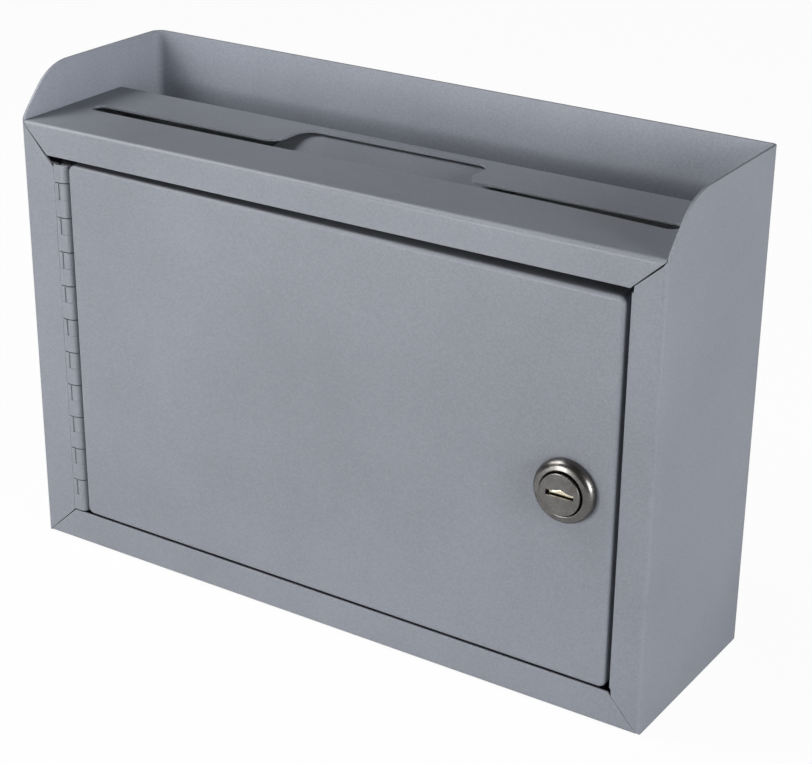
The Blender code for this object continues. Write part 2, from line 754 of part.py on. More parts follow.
def main():
    """Builds the box, its door, the lock's turning parts and the keyway's flap, in that order."""
    for old in list(bpy.data.objects):
        bpy.data.objects.remove(old)
    root = bpy.data.objects.new("box_frame", None)
    bpy.context.scene.collection.objects.link(root)
    root.location = (0, FRONT_Y * MM, 0)
    cabinet = (root, BOX)
    door = pivot("door_hinge_axis", HINGE, root, BOX)
    core = pivot("lock_axis", LOCK, door[0], HINGE)
    flap = pivot("shutter_axis", SHUTTER, core[0], LOCK)

    body_wrap(cabinet)
    top_sheet(cabinet)
    chute_guard(cabinet)
    floor_pan(cabinet)
    hinge_frame_leaf(cabinet)
    hinge_pin(cabinet)

    hinge_door_leaf(door)
    door_panel(door)
    lock_housing(door)
    behind = SHEET + GAP
    washer_bore = THREAD_R + GAP
    ring("lock_washer", washer_bore, WASHER_R, behind, behind + WASHER_THICK, "zinc_steel", door)
    lock_nut(door)

    lock_plug(core)
    for index in range(WAFERS):
        wafer(index, core)
    stop_washer(core)
    lock_cam(core)
    near, far = TANG_END + GAP, TANG_END + 3 * GAP
    ring("cam_washer", SCREW_BORE_R, CAM_WASHER_R, near, far, "zinc_steel", core)
    cam_screw(core)
    key_shutter(flap)


main()
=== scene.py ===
"""Looks of a wall-hung steel drop box: enamelled folded sheet, a piano hinge and a cam lock.

Lengths are in millimetres of the box until a mesh is made: X from the middle of the box to its
right, Y from the plane of the front frame to the wall, Z up from the floor.
"""

import json
import logging
import math
from dataclasses import dataclass, field
from enum import Enum
from typing import Callable, Sequence

import bmesh
import bpy
import numpy as np
from mathutils import Matrix, Vector


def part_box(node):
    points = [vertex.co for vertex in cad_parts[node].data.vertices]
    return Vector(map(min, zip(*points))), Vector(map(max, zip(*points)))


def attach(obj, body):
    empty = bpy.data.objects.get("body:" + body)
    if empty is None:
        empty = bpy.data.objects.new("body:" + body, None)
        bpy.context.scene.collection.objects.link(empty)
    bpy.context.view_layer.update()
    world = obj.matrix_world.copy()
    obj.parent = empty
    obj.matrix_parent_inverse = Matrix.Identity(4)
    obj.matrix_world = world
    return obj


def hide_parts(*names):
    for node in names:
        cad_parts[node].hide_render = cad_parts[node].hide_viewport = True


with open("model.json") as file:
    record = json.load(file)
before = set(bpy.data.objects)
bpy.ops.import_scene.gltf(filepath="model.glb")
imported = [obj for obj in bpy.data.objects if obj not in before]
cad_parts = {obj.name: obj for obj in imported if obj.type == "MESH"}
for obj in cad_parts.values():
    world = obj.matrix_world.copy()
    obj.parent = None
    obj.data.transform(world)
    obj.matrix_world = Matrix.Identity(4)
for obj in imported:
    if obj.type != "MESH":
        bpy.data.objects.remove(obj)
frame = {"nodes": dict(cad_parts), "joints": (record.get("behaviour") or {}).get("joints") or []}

Pair = tuple[float, float]
Triple = tuple[float, float, float]
Socket = bpy.types.NodeSocket
Tree = bpy.types.NodeTree

LOG = logging.getLogger("drop_box")
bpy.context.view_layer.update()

MM = 0.001
WRAP_LOW, WRAP_HIGH = (np.array(corner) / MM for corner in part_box("body_wrap"))
JOINT_AT = {joint["name"]: np.array(joint["pos_m"]) / MM for joint in frame["joints"]}
FRONT_Y = WRAP_LOW[1]
LEFT, RIGHT = WRAP_LOW[0], WRAP_HIGH[0]
WIDTH = RIGHT - LEFT
DEPTH = WRAP_HIGH[1] - WRAP_LOW[1]
HEIGHT = WRAP_HIGH[2]
SHEET = 0.9
GAP = 0.3
DECK_Z = 160.2
TILT = 1.0


class Rim(Enum):
    """How far a cut edge of sheet is rounded by its paint, in millimetres."""

    FINE = 0.1
    PAINTED = 0.2


# ------------------------------------------------------------------ surfaces


@dataclass
class Shell:
    """Points in millimetres of the box, and the faces between them."""

    points: np.ndarray
    faces: list[tuple[int, ...]]

    def __add__(self, other: "Shell") -> "Shell":
        """Both shells in one."""
        start = len(self.points)
        moved = [tuple(corner + start for corner in face) for face in other.faces]
        return Shell(np.vstack([self.points, other.points]), self.faces + moved)

    def flipped(self) -> "Shell":
        """The same shell with its faces turned round."""
        return Shell(self.points, [face[::-1] for face in self.faces])


def net(points: np.ndarray, keep: np.ndarray | None = None, closed: bool = False) -> Shell:
    """A face in every cell of a grid of points.

    A face looks along the cross product of its row's direction and its column's direction.

    Args:
        points: Rows by columns by three.
        keep: For each cell, whether it has a face. All have one if this is None.
        closed: Whether the last column joins the first.

    Returns:
        The grid as a shell.
    """
    rows, columns = points.shape[:2]
    index = np.arange(rows * columns).reshape(rows, columns)
    if closed:
        index = np.hstack([index, index[:, :1]])
    cells = np.stack([index[:-1, :-1], index[:-1, 1:], index[1:, 1:], index[1:, :-1]], axis=-1)
    chosen = cells[keep] if keep is not None else cells.reshape(-1, 4)
    return Shell(points.reshape(-1, 3), [tuple(face) for face in chosen.tolist()])


def spread(stops: Sequence[float], counts: Sequence[int]) -> np.ndarray:
    """Values through all the stops, with an even count of steps between each two."""
    parts = [np.linspace(a, b, n + 1)[:-1] for a, b, n in zip(stops, stops[1:], counts)]
    return np.concatenate([*parts, [stops[-1]]])


def arc(centre: Sequence[float], radius: float, start: float, stop: float, steps: int) -> np.ndarray:
    """Points on a circle's arc, from one angle to another in degrees."""
    angle = np.radians(np.linspace(start, stop, steps + 1))
    return np.array(centre) + radius * np.column_stack([np.cos(angle), np.sin(angle)])


def folded(corners: Sequence[Sequence[float]], radii: Sequence[float], steps: int = 8) -> np.ndarray:
    """A polyline with an arc at each inner corner, tangent to both of its sides.

    The arc starts the radius times the tangent of half the turn before the corner.

    Args:
        corners: The polyline's points, in two dimensions.
        radii: A radius for each inner corner.
        steps: Steps along each arc.

    Returns:
        The rounded path's points.
    """
    knots = np.array(corners, float)
    path = [knots[:1]]
    for before, corner, after, radius in zip(knots, knots[1:], knots[2:], radii):
        come, leave = (corner - before), (after - corner)
        come, leave = come / np.hypot(*come), leave / np.hypot(*leave)
        turn = math.atan2(come[0] * leave[1] - come[1] * leave[0], come @ leave)
        side = math.copysign(1.0, turn)
        start = corner - come * radius * math.tan(abs(turn) / 2)
        centre = start + side * radius * np.array((-come[1], come[0]))
        first = math.degrees(math.atan2(*(start - centre)[::-1]))
        path.append(arc(centre, radius, first, first + math.degrees(turn), steps))
    return np.vstack([*path, knots[-1:]])


def subdivided(path: np.ndarray, longest: float) -> np.ndarray:
    """The same path with points added, so that no step is longer than the given length."""
    pieces = []
    for a, b in zip(path, path[1:]):
        count = max(1, math.ceil(np.hypot(*(b - a)) / longest))
        pieces.append(a + (b - a) * (np.arange(count) / count)[:, None])
    return np.vstack([*pieces, path[-1:]])


def resampled(line: np.ndarray, count: int) -> np.ndarray:
    """Evenly spaced points along a closed outline, from its first point.

    Args:
        line: The outline, whose last point is its first.
        count: How many points.

    Returns:
        The points, without the first repeated.
    """
    along = np.concatenate([[0], np.cumsum(np.hypot(*np.diff(line, axis=0).T))])
    at = np.linspace(0, along[-1], count, endpoint=False)
    return np.column_stack([np.interp(at, along, line[:, 0]), np.interp(at, along, line[:, 1])])


def rings(outlines: Sequence[np.ndarray], depths: Sequence[float]) -> Shell:
    """Closed outlines in X and Z with as many points each, joined in order, each at its own Y."""
    layers = [np.insert(line, 1, depth, axis=1) for line, depth in zip(outlines, depths)]
    return net(np.stack(layers), closed=True)


def capped(shell: Shell, loop: np.ndarray, away: int) -> Shell:
    """A shell with a fan over a closed loop of its points.

    Args:
        shell: The shell to close.
        loop: Indices of the loop's points.
        away: 1 or -1, the way round that the fan goes.

    Returns:
        The closed shell.
    """
    middle = shell.points[loop].mean(axis=0)
    hub = len(shell.points)
    pairs = np.column_stack([loop, np.roll(loop, -away)])
    fan = [(hub, int(a), int(b)) for a, b in pairs]
    return Shell(np.vstack([shell.points, middle]), shell.faces + fan)


def tilted(points: np.ndarray) -> np.ndarray:
    """Points raised in proportion to X by the deck's rise over the box's width, in its upper half."""
    raised = points.copy()
    high = points[..., 2] > DECK_Z / 2
    raised[..., 2] += np.where(high, TILT * points[..., 0] / WIDTH, 0.0)
    return raised


def make(name: str, shell: Shell) -> bpy.types.Object:
    """A mesh object of a shell, in metres of the frame, with doubles merged.

    Args:
        name: The piece's name.
        shell: Its surface, in millimetres of the box.

    Returns:
        The object, at the origin, with its place in its mesh.
    """
    mesh = bpy.data.meshes.new(name)
    placed = (shell.points + (0.0, FRONT_Y, 0.0)) * MM
    mesh.from_pydata(placed.tolist(), [], shell.faces)
    work = bmesh.new()
    work.from_mesh(mesh)
    bmesh.ops.remove_doubles(work, verts=work.verts, dist=1e-6)
    bmesh.ops.dissolve_degenerate(work, edges=work.edges, dist=1e-7)
    work.to_mesh(mesh)
    work.free()
    mesh.shade_smooth()
    piece = bpy.data.objects.new(name, mesh)
    bpy.context.scene.collection.objects.link(piece)
    return piece


def rounded(piece: bpy.types.Object, rim: float, angle: float = 40.0, segments: int = 2) -> None:
    """Rounds every edge sharper than the angle, and lets the flats keep flat normals."""
    bevel = piece.modifiers.new("Rim", "BEVEL")
    bevel.limit_method = "ANGLE"
    bevel.angle_limit = math.radians(angle)
    bevel.width = rim * MM
    bevel.segments = segments
    bevel.use_clamp_overlap = True
    flats = piece.modifiers.new("Flats", "WEIGHTED_NORMAL")
    flats.weight = 80
    flats.keep_sharp = False


def crisp(piece: bpy.types.Object, angle: float) -> None:
    """Keeps edges sharper than the angle sharp, and lets the flats keep flat normals."""
    piece.data.set_sharp_from_angle(angle=math.radians(angle))
    flats = piece.modifiers.new("Flats", "WEIGHTED_NORMAL")
    flats.weight = 80
    flats.keep_sharp = True


def plate(name: str, shell: Shell, rim: Rim, thickness: float = SHEET) -> bpy.types.Object:
    """A sheet-metal piece: its outer face, thickened inwards, with its cut edges rounded.

    Args:
        name: The piece's name.
        shell: The sheet's outer face.
        rim: How far its cut edges are rounded.
        thickness: The sheet's thickness.

    Returns:
        The finished piece.
    """
    piece = make(name, shell)
    wall = piece.modifiers.new("Wall", "SOLIDIFY")
    wall.thickness = thickness * MM
    wall.offset = -1.0
    wall.use_even_offset = True
    wall.use_quality_normals = True
    rounded(piece, rim.value)
    return piece


# ------------------------------------------------------------------ shader groups


@dataclass
class Nodes:
    """A node tree in the making."""

    tree: Tree

    def add(self, kind: str, **values: object) -> bpy.types.Node:
        """A node of that kind.

        Args:
            kind: The node type's name after "ShaderNode".
            values: Properties, or input sockets by their name with _ for each space.

        Returns:
            The node.
        """
        node = self.tree.nodes.new("ShaderNode" + kind)
        for key, value in values.items():
            socket = next((s for s in node.inputs if s.name.replace(" ", "_") == key), None)
            if socket is None:
                setattr(node, key, value)
            elif isinstance(value, Socket):
                self.link(value, socket)
            else:
                socket.default_value = value
        return node

    def link(self, source: Socket, target: Socket) -> None:
        """Links two sockets."""
        self.tree.links.new(source, target)

    def math(self, operation: str, a: object, b: object = 0.5, clamp: bool = False) -> Socket:
        """The result of a Math node on two values or sockets."""
        node = self.tree.nodes.new("ShaderNodeMath")
        node.operation = operation
        node.use_clamp = clamp
        for value, socket in zip((a, b), node.inputs):
            if isinstance(value, Socket):
                self.link(value, socket)
            else:
                socket.default_value = value
        return node.outputs[0]

    def mix(self, factor: object, a: object, b: object, blend: str = "MIX") -> Socket:
        """A colour between a and b."""
        node = self.tree.nodes.new("ShaderNodeMix")
        node.data_type = "RGBA"
        node.blend_type = blend
        for value, socket in ((factor, node.inputs[0]), (a, node.inputs[6]), (b, node.inputs[7])):
            if isinstance(value, Socket):
                self.link(value, socket)
            else:
                socket.default_value = value
        return node.outputs[2]

    def ramp(self, value: Socket, low: float, high: float) -> Socket:
        """The value stretched so that low becomes 0 and high becomes 1, clamped."""
        node = self.add("MapRange", clamp=True)
        self.link(value, node.inputs["Value"])
        node.inputs["From Min"].default_value = low
        node.inputs["From Max"].default_value = high
        return node.outputs["Result"]


def group(name: str, inputs: dict[str, float], outputs: dict[str, str]) -> tuple[Nodes, dict, dict]:
    """A new shader group.

    Args:
        name: The group's name.
        inputs: Its number inputs and their defaults.
        outputs: Its outputs and their socket types.

    Returns:
        The group's nodes, its input sockets by name and its output sockets by name.
    """
    tree = bpy.data.node_groups.new(name, "ShaderNodeTree")
    for label, value in inputs.items():
        socket = tree.interface.new_socket(label, in_out="INPUT", socket_type="NodeSocketFloat")
        socket.default_value = value
    for label, kind in outputs.items():
        tree.interface.new_socket(label, in_out="OUTPUT", socket_type=kind)
    enter = tree.nodes.new("NodeGroupInput")
    leave = tree.nodes.new("NodeGroupOutput")
    return Nodes(tree), dict(enter.outputs.items()), dict(leave.inputs.items())


def new_material(name: str) -> tuple[bpy.types.Material, Nodes, bpy.types.Node]:
    """A new node material, its nodes and its Principled shader."""
    material = bpy.data.materials.new(name)
    material.use_nodes = True
    return material, Nodes(material.node_tree), material.node_tree.nodes["Principled BSDF"]


def speckle_group() -> Tree:
    """Fine grain in two sizes round 0.5, and slow drift, from the piece's own coordinates."""
    scales = {"Grain per m": 1500.0, "Drift per m": 14.0}
    nodes, given, out = group("speckle", scales, {"Grain": "NodeSocketFloat", "Drift": "NodeSocketFloat"})
    place = nodes.add("TexCoord").outputs["Object"]
    fine = nodes.add("TexNoise", Vector=place, Scale=given["Grain per m"], Detail=2.0, Roughness=0.7)
    slow = nodes.add("TexNoise", Vector=place, Scale=given["Drift per m"], Detail=3.0, Roughness=0.55)
    nodes.link(fine.outputs["Fac"], out["Grain"])
    nodes.link(slow.outputs["Fac"], out["Drift"])
    return nodes.tree


def edge_group() -> Tree:
    """Where the surface turns over an edge: 1 less the dot product of its normal and a rounded one."""
    nodes, given, out = group("edge_mask", {"Radius": 0.0006, "Gain": 4.0}, {"Edge": "NodeSocketFloat"})
    soft = nodes.add("Bevel", samples=6, Radius=given["Radius"])
    hard = nodes.add("NewGeometry")
    dot = nodes.add("VectorMath", operation="DOT_PRODUCT")
    nodes.link(soft.outputs["Normal"], dot.inputs[0])
    nodes.link(hard.outputs["Normal"], dot.inputs[1])
    turned_away = nodes.math("SUBTRACT", 1.0, dot.outputs["Value"])
    edge = nodes.math("MULTIPLY", turned_away, given["Gain"], clamp=True)
    nodes.link(edge, out["Edge"])
    return nodes.tree


def dust_group() -> Tree:
    """Dust on what faces up, thicker where a slow noise is high."""
    amounts = {"Amount": 0.2, "Patches per m": 60.0}
    nodes, given, out = group("settled_dust", amounts, {"Dust": "NodeSocketFloat"})
    place = nodes.add("TexCoord").outputs["Object"]
    up = nodes.add("SeparateXYZ", Vector=nodes.add("NewGeometry").outputs["Normal"]).outputs["Z"]
    patches = nodes.add("TexNoise", Vector=place, Scale=given["Patches per m"], Detail=4.0)
    level = nodes.ramp(up, 0.6, 1.0)
    cover = nodes.math("MULTIPLY", level, nodes.ramp(patches.outputs["Fac"], 0.42, 0.72))
    dust = nodes.math("MULTIPLY", cover, given["Amount"], clamp=True)
    nodes.link(dust, out["Dust"])
    return nodes.tree


@dataclass
class Groups:
    """The shader groups that the finishes share, each built once."""

    speckle: Tree = field(default_factory=speckle_group)
    edge: Tree = field(default_factory=edge_group)
    dust: Tree = field(default_factory=dust_group)


def use(nodes: Nodes, tree: Tree, **values: float) -> dict[str, Socket]:
    """Places a group in a material and returns its output sockets by name."""
    node = nodes.tree.nodes.new("ShaderNodeGroup")
    node.node_tree = tree
    for key, value in values.items():
        node.inputs[key.replace("_", " ")].default_value = value
    return dict(node.outputs.items())


# ------------------------------------------------------------------ finishes


@dataclass(frozen=True)
class Enamel:
    """Stoved enamel: an even colour with fine grain, slow drift and a slight orange peel."""

    name: str = "grey_enamel"
    colour: Triple = (0.222, 0.235, 0.266)
    grain: float = 0.08
    drift: float = 0.05
    roughness: float = 0.42
    # edge_light and edge_colour lighten the cut edges: partly edge wear, partly a painted highlight.
    edge_light: float = 0.3
    edge_colour: Triple = (0.31, 0.33, 0.36)
    dust_colour: Triple = (0.27, 0.265, 0.25)
    peel: float = 0.04
    dust: float = 0.10

    def build(self, groups: Groups) -> bpy.types.Material:
        """The finish as a material."""
        material, nodes, shader = new_material(self.name)
        speckle = use(nodes, groups.speckle)
        edge = use(nodes, groups.edge, Radius=0.00035)["Edge"]
        dust = use(nodes, groups.dust, Amount=self.dust)["Dust"]
        dark = (*(c * (1 - self.grain - self.drift) for c in self.colour), 1.0)
        light = (*(min(1.0, c * (1 + self.grain + self.drift)) for c in self.colour), 1.0)
        share = self.grain / (self.grain + self.drift)
        grain = nodes.math("MULTIPLY", speckle["Grain"], share)
        level = nodes.math("ADD", grain, nodes.math("MULTIPLY", speckle["Drift"], 1 - share))
        painted = nodes.mix(nodes.ramp(level, 0.36, 0.64), dark, light)
        # Lighter along the edges: partly edge wear, partly a painted highlight on the sheet's cut edges.
        worn_and_highlit = nodes.mix(nodes.math("MULTIPLY", edge, self.edge_light), painted, (*self.edge_colour, 1.0))
        dusty = nodes.mix(dust, worn_and_highlit, (*self.dust_colour, 1.0))
        nodes.link(dusty, shader.inputs["Base Color"])
        gloss = nodes.math("ADD", nodes.math("MULTIPLY", speckle["Grain"], 0.14), dust)
        rough = nodes.math("ADD", gloss, self.roughness - 0.07)
        nodes.link(rough, shader.inputs["Roughness"])
        shader.inputs["Specular IOR Level"].default_value = 0.45
        self._peel(nodes, shader, speckle["Grain"])
        return material

    def _peel(self, nodes: Nodes, shader: bpy.types.Node, grain: Socket) -> None:
        """Links a bump of orange peel with the fine grain on top of it."""
        place = nodes.add("TexCoord").outputs["Object"]
        peel = nodes.add("TexNoise", Vector=place, Scale=420.0, Detail=1.5)
        height = nodes.math("ADD", peel.outputs["Fac"], nodes.math("MULTIPLY", grain, 0.35))
        bump = nodes.add("Bump", Strength=self.peel, Distance=0.0006, Height=height)
        nodes.link(bump.outputs["Normal"], shader.inputs["Normal"])


@dataclass(frozen=True)
class Metal:
    """Bare or plated metal: a brushed or mottled colour, with brighter edges."""

    name: str
    colour: Triple
    tarnish: Triple
    roughness: float
    mottle_per_m: float = 260.0
    edge_light: float = 0.5
    turned_at: Pair | None = None
    turned_depth: float = 0.25
    rings_per_m: float = 9000.0
    lines_per_m: float = 4000.0

    def build(self, groups: Groups) -> bpy.types.Material:
        """The finish as a material."""
        material, nodes, shader = new_material(self.name)
        speckle = use(nodes, groups.speckle, Grain_per_m=self.mottle_per_m * 8, Drift_per_m=self.mottle_per_m)
        edge = use(nodes, groups.edge, Radius=0.0003)["Edge"]
        patches = nodes.ramp(speckle["Drift"], 0.35, 0.68)
        plain = nodes.mix(patches, (*self.colour, 1.0), (*self.tarnish, 1.0))
        bright = (*(min(1.0, c * 1.5) for c in self.colour), 1.0)
        coloured = nodes.mix(nodes.math("MULTIPLY", edge, self.edge_light), plain, bright)
        nodes.link(coloured, shader.inputs["Base Color"])
        shader.inputs["Metallic"].default_value = 1.0
        scuff = nodes.math("MULTIPLY", speckle["Grain"], 0.16)
        rough = nodes.math("ADD", scuff, nodes.math("MULTIPLY", patches, 0.08))
        nodes.link(nodes.math("ADD", rough, self.roughness - 0.1), shader.inputs["Roughness"])
        lines = self._turning(nodes) if self.turned_at else speckle["Grain"]
        bump = nodes.add("Bump", Strength=self.turned_depth, Distance=0.00004, Height=lines)
        nodes.link(bump.outputs["Normal"], shader.inputs["Normal"])
        return material

    def _turning(self, nodes: Nodes) -> Socket:
        """Noise drawn out into rings: it reads the distance from the lathe's axis, and hardly the angle."""
        place = nodes.add("TexCoord").outputs["Object"]
        centred = nodes.add("Mapping", Vector=place, Location=(-self.turned_at[0], 0.0, -self.turned_at[1]))
        parts = nodes.add("SeparateXYZ", Vector=centred.outputs[0])
        across = nodes.math("POWER", parts.outputs["X"], 2.0)
        radius = nodes.math("SQRT", nodes.math("ADD", across, nodes.math("POWER", parts.outputs["Z"], 2.0)))
        angle = nodes.math("ARCTAN2", parts.outputs["Z"], parts.outputs["X"])
        outward = nodes.math("MULTIPLY", radius, self.rings_per_m)
        around = nodes.math("MULTIPLY", angle, 1.2)
        along = nodes.math("MULTIPLY", parts.outputs["Y"], self.lines_per_m)
        drawn = nodes.add("CombineXYZ", X=outward, Y=around, Z=along)
        return nodes.add("TexNoise", Vector=drawn.outputs[0], Scale=1.0, Detail=3.0).outputs["Fac"]


@dataclass
class Finishes:
    """Every finish on the object, built once."""

    groups: Groups = field(default_factory=Groups)
    made: dict[str, bpy.types.Material] = field(default_factory=dict)

    def get(self, finish: Enamel | Metal) -> bpy.types.Material:
        """The material of a finish."""
        if finish.name not in self.made:
            self.made[finish.name] = finish.build(self.groups)
        return self.made[finish.name]


LOCK_AT = JOINT_AT["lock_turn"]
ENAMEL = Enamel()
# A lighter copy of the enamel for the sheet's inner faces: painted light, for the light that bounces round
# inside the box.
LIT_INNER_ENAMEL = Enamel(name="inner_enamel", colour=(0.325, 0.345, 0.395), dust=0.05, edge_light=0.2)
LOCK_AXIS = (LOCK_AT[0] * MM, LOCK_AT[2] * MM)
# The nickel's colour is kept dark: painted shade, for the dark surroundings that the plated lock reflects.
NICKEL = Metal("satin_nickel", (0.19, 0.183, 0.175), (0.13, 0.123, 0.115), 0.28, turned_at=LOCK_AXIS)
BRASS = Metal("bright_brass", (0.86, 0.82, 0.68), (0.66, 0.58, 0.42), 0.24)
ZINC = Metal("zinc_plate", (0.60, 0.62, 0.64), (0.50, 0.51, 0.46), 0.32)


@dataclass
class Assembly:
    """Something that makes pieces for one CAD body and dresses them."""

    finishes: Finishes

    def place(
        self, piece: bpy.types.Object, body: str, finish: Enamel | Metal, slot: str, *nodes: str
    ) -> bpy.types.Object:
        """Gives a piece its finish and body, and says which CAD nodes it stands for."""
        piece.data.materials.append(self.finishes.get(finish))
        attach(piece, body)
        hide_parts(*nodes)
        LOG.info("%s on %s: %d faces before its modifiers", piece.name, body, len(piece.data.polygons))
        return piece

    def dress(self, node: str, finish: Enamel | Metal) -> None:
        """Gives a CAD node that is kept as it is its finish."""
        kept = frame["nodes"][node]
        kept.data.materials.clear()
        kept.data.materials.append(self.finishes.get(finish))
        LOG.info("%s kept from the CAD model", node)


# ------------------------------------------------------------------ cabinet


@dataclass
class Wrap(Assembly):
    """Back, sides with their wings, and front stiles: one sheet folded in plan."""

    left_stile: float = 13.5
    right_stile: float = 11.45
    return_depth: float = 11.5
    bend: float = 1.8
    near_left_bend: float = 1.1
    rear_left_bend: float = 4.0
    lean: float = 1.2
    mitre_gap: Triple = (0.5, 1.0, 0.2)
    mitre_run: float = 10.6
    step_low: Pair = (144.2, 148.6)
    wing_slope: float = math.radians(47.4)
    wing_radius: float = 21.4
    sill: float = 12.5
    head_low: Pair = (149.0, 150.0)
    keyholes: float = 152.4
    keyhole_z: float = 128.0
    keyhole_rise: float = 9.5
    head_radius: float = 4.6
    neck_radius: float = 2.3
    block: tuple[float, float, float, float] = (-9.0, 9.0, 118.0, 146.0)

    def wing(self, y: np.ndarray) -> np.ndarray:
        """Height of a side's upper edge: a straight slope, then an arc that ends level at the top."""
        rise = self.wing_radius * (1 - math.cos(self.wing_slope))
        run = (HEIGHT - DECK_Z - rise) / math.tan(self.wing_slope)
        end = run + self.wing_radius * math.sin(self.wing_slope)
        slope = DECK_Z + y * math.tan(self.wing_slope)
        inside = np.clip(self.wing_radius**2 - (y - end) ** 2, 0, None)
        curve = HEIGHT - self.wing_radius + np.sqrt(inside)
        return np.where(y < run, slope, np.where(y < end, curve, HEIGHT))

    def stile_top(self, x: np.ndarray) -> np.ndarray:
        """How far below the deck a stile ends: a slant that meets the head rail, then a steeper step."""
        left_in, right_in = LEFT + self.left_stile, RIGHT - self.right_stile
        corner, wide, thin = self.mitre_gap
        left_x, right_x = [LEFT, LEFT + self.mitre_run, left_in + 1], [right_in - 1, right_in, RIGHT]
        left_z = [DECK_Z - corner, self.head_low[0] - wide, self.step_low[0]]
        right_z = [self.step_low[1], self.head_low[1] - thin, DECK_Z - thin]
        return np.where(x < 0, np.interp(x, left_x, left_z), np.interp(x, right_x, right_z))

    def edges(self, path: np.ndarray) -> tuple[np.ndarray, np.ndarray]:
        """Lowest and highest Z at each point of the plan.

        Args:
            path: The plan's points.

        Returns:
            Both heights, as arrays.
        """
        x, y = path.T
        in_front = y < self.bend + 1e-6
        top = np.where(in_front, self.stile_top(x) + self.wing(y) - DECK_Z, self.wing(y))
        from_side = np.minimum(x - LEFT, RIGHT - x)
        width = np.where(x < 0, self.left_stile, self.right_stile)
        low = np.where(in_front, (self.sill + np.where(x < 0, 0.25, 0.08)) * from_side / width, 0.0)
        folded_back = (y > 1e-6) & (x > 0) & (x < RIGHT - self.right_stile + self.bend / 2)
        top = np.where(folded_back & (y < self.return_depth + 1), self.head_low[1] - 1.5, top)
        low = np.where(folded_back & (y < self.return_depth + 1), self.sill + 1.5, low)
        return low, top

    def plan(self) -> np.ndarray:
        """The sheet's outer face in plan, from the right stile's return round the back to the left."""
        left_in, right_in = LEFT + self.left_stile, RIGHT - self.right_stile
        corners = [(right_in, self.return_depth), (right_in, 0), (RIGHT, 0), (RIGHT, DEPTH)]
        corners += [(LEFT, DEPTH), (LEFT, 0), (left_in, 0)]
        radii = [1.1, self.bend, self.bend, self.rear_left_bend, self.near_left_bend]
        sides = subdivided(folded(corners, radii), 1.6)
        back = sides[:, 1] > DEPTH - 1e-6
        x0, x1 = self.block[:2]
        half = self.keyholes / 2
        stops = [RIGHT - self.bend, half + x1, half + x0, -half + x1, -half + x0, LEFT + self.rear_left_bend]
        across = spread(stops, [6, 8, 14, 8, 6])
        first, last = np.flatnonzero(back)[[0, -1]]
        rear = np.column_stack([across, np.full_like(across, DEPTH)])
        return np.vstack([sides[:first], rear, sides[last + 1:]])

    def keyhole(self, centre: float, count: int) -> np.ndarray:
        """A keyhole's outline: a round head, and a narrow neck above it that ends in a half circle.

        Args:
            centre: X of the middle.
            count: How many points, evenly along the outline from its lowest point.

        Returns:
            X and Z of each point, anticlockwise from in front of the box.
        """
        spread_angle = math.degrees(math.asin(self.neck_radius / self.head_radius))
        right = arc((centre, self.keyhole_z), self.head_radius, -90, 90 - spread_angle, 24)
        neck = arc((centre, self.keyhole_z + self.keyhole_rise), self.neck_radius, 0, 180, 16)
        left = arc((centre, self.keyhole_z), self.head_radius, 90 + spread_angle, 270, 24)[:-1]
        return resampled(np.vstack([right, neck, left, right[:1]]), count)

    def build(self) -> None:
        """Carries the plan up between its low and high edges, and lets a keyhole into each block."""
        path = self.plan()
        low, top = self.edges(path)
        z0, z1 = (z / HEIGHT for z in self.block[2:])
        share = spread([0, 0.03, z0, z1, 0.97, 1], [2, 12, 12, 4, 2])[:, None]
        heights = low + share * (top - low)
        above = np.clip((heights - DECK_Z) / (HEIGHT - DECK_Z), 0, 1)
        toward_left = np.clip(1 - (path[:, 0] - LEFT) / 60, 0, 1) * (path[:, 1] / DEPTH) ** 2
        across = path[:, 0] + self.lean * above * toward_left
        grid = np.dstack([across, np.tile(path[:, 1], (len(share), 1)), heights])
        keep = np.ones((len(share) - 1, len(path) - 1), bool)
        rows = np.flatnonzero((share[:, 0] >= z0 - 1e-9) & (share[:, 0] <= z1 + 1e-9))
        shells = []
        for side in (-1, 1):
            centre = side * self.keyholes / 2
            inside = (np.abs(path[:, 0] - centre) <= self.block[1] + 1e-6) & (path[:, 1] > DEPTH - 1e-6)
            columns = np.flatnonzero(inside)
            keep[rows[0]:rows[-1], columns[0]:columns[-1]] = False
            patch = grid[rows[0]:rows[-1] + 1, columns[0]:columns[-1] + 1]
            middle = (patch.shape[1] - 1) // 2
            right_up, back_down = [patch[0, middle:], patch[1:, -1]], [patch[-1, -2::-1], patch[-2::-1, 0]]
            border = np.vstack([*right_up, *back_down, patch[0, 1:middle]])
            hole = self.keyhole(centre, len(border))
            mirrored = np.column_stack([2 * centre - hole[:, 0], hole[:, 1]])
            inner = np.insert(mirrored, 1, DEPTH, axis=1)
            steps = np.linspace(0, 1, 4)[:, None, None] ** 1.3
            shells.append(net(border + steps * (inner - border), closed=True))
        whole = net(grid, keep)
        for shell in shells:
            whole = whole + shell
        piece = plate("wrapped_body", whole, Rim.FINE)
        self.place(piece, "cabinet", ENAMEL, "grey_paint", "body_wrap")
        # The inner faces take the lighter copy of the enamel: painted light.
        piece.data.materials.append(self.finishes.get(LIT_INNER_ENAMEL))
        piece.modifiers["Wall"].material_offset = 1


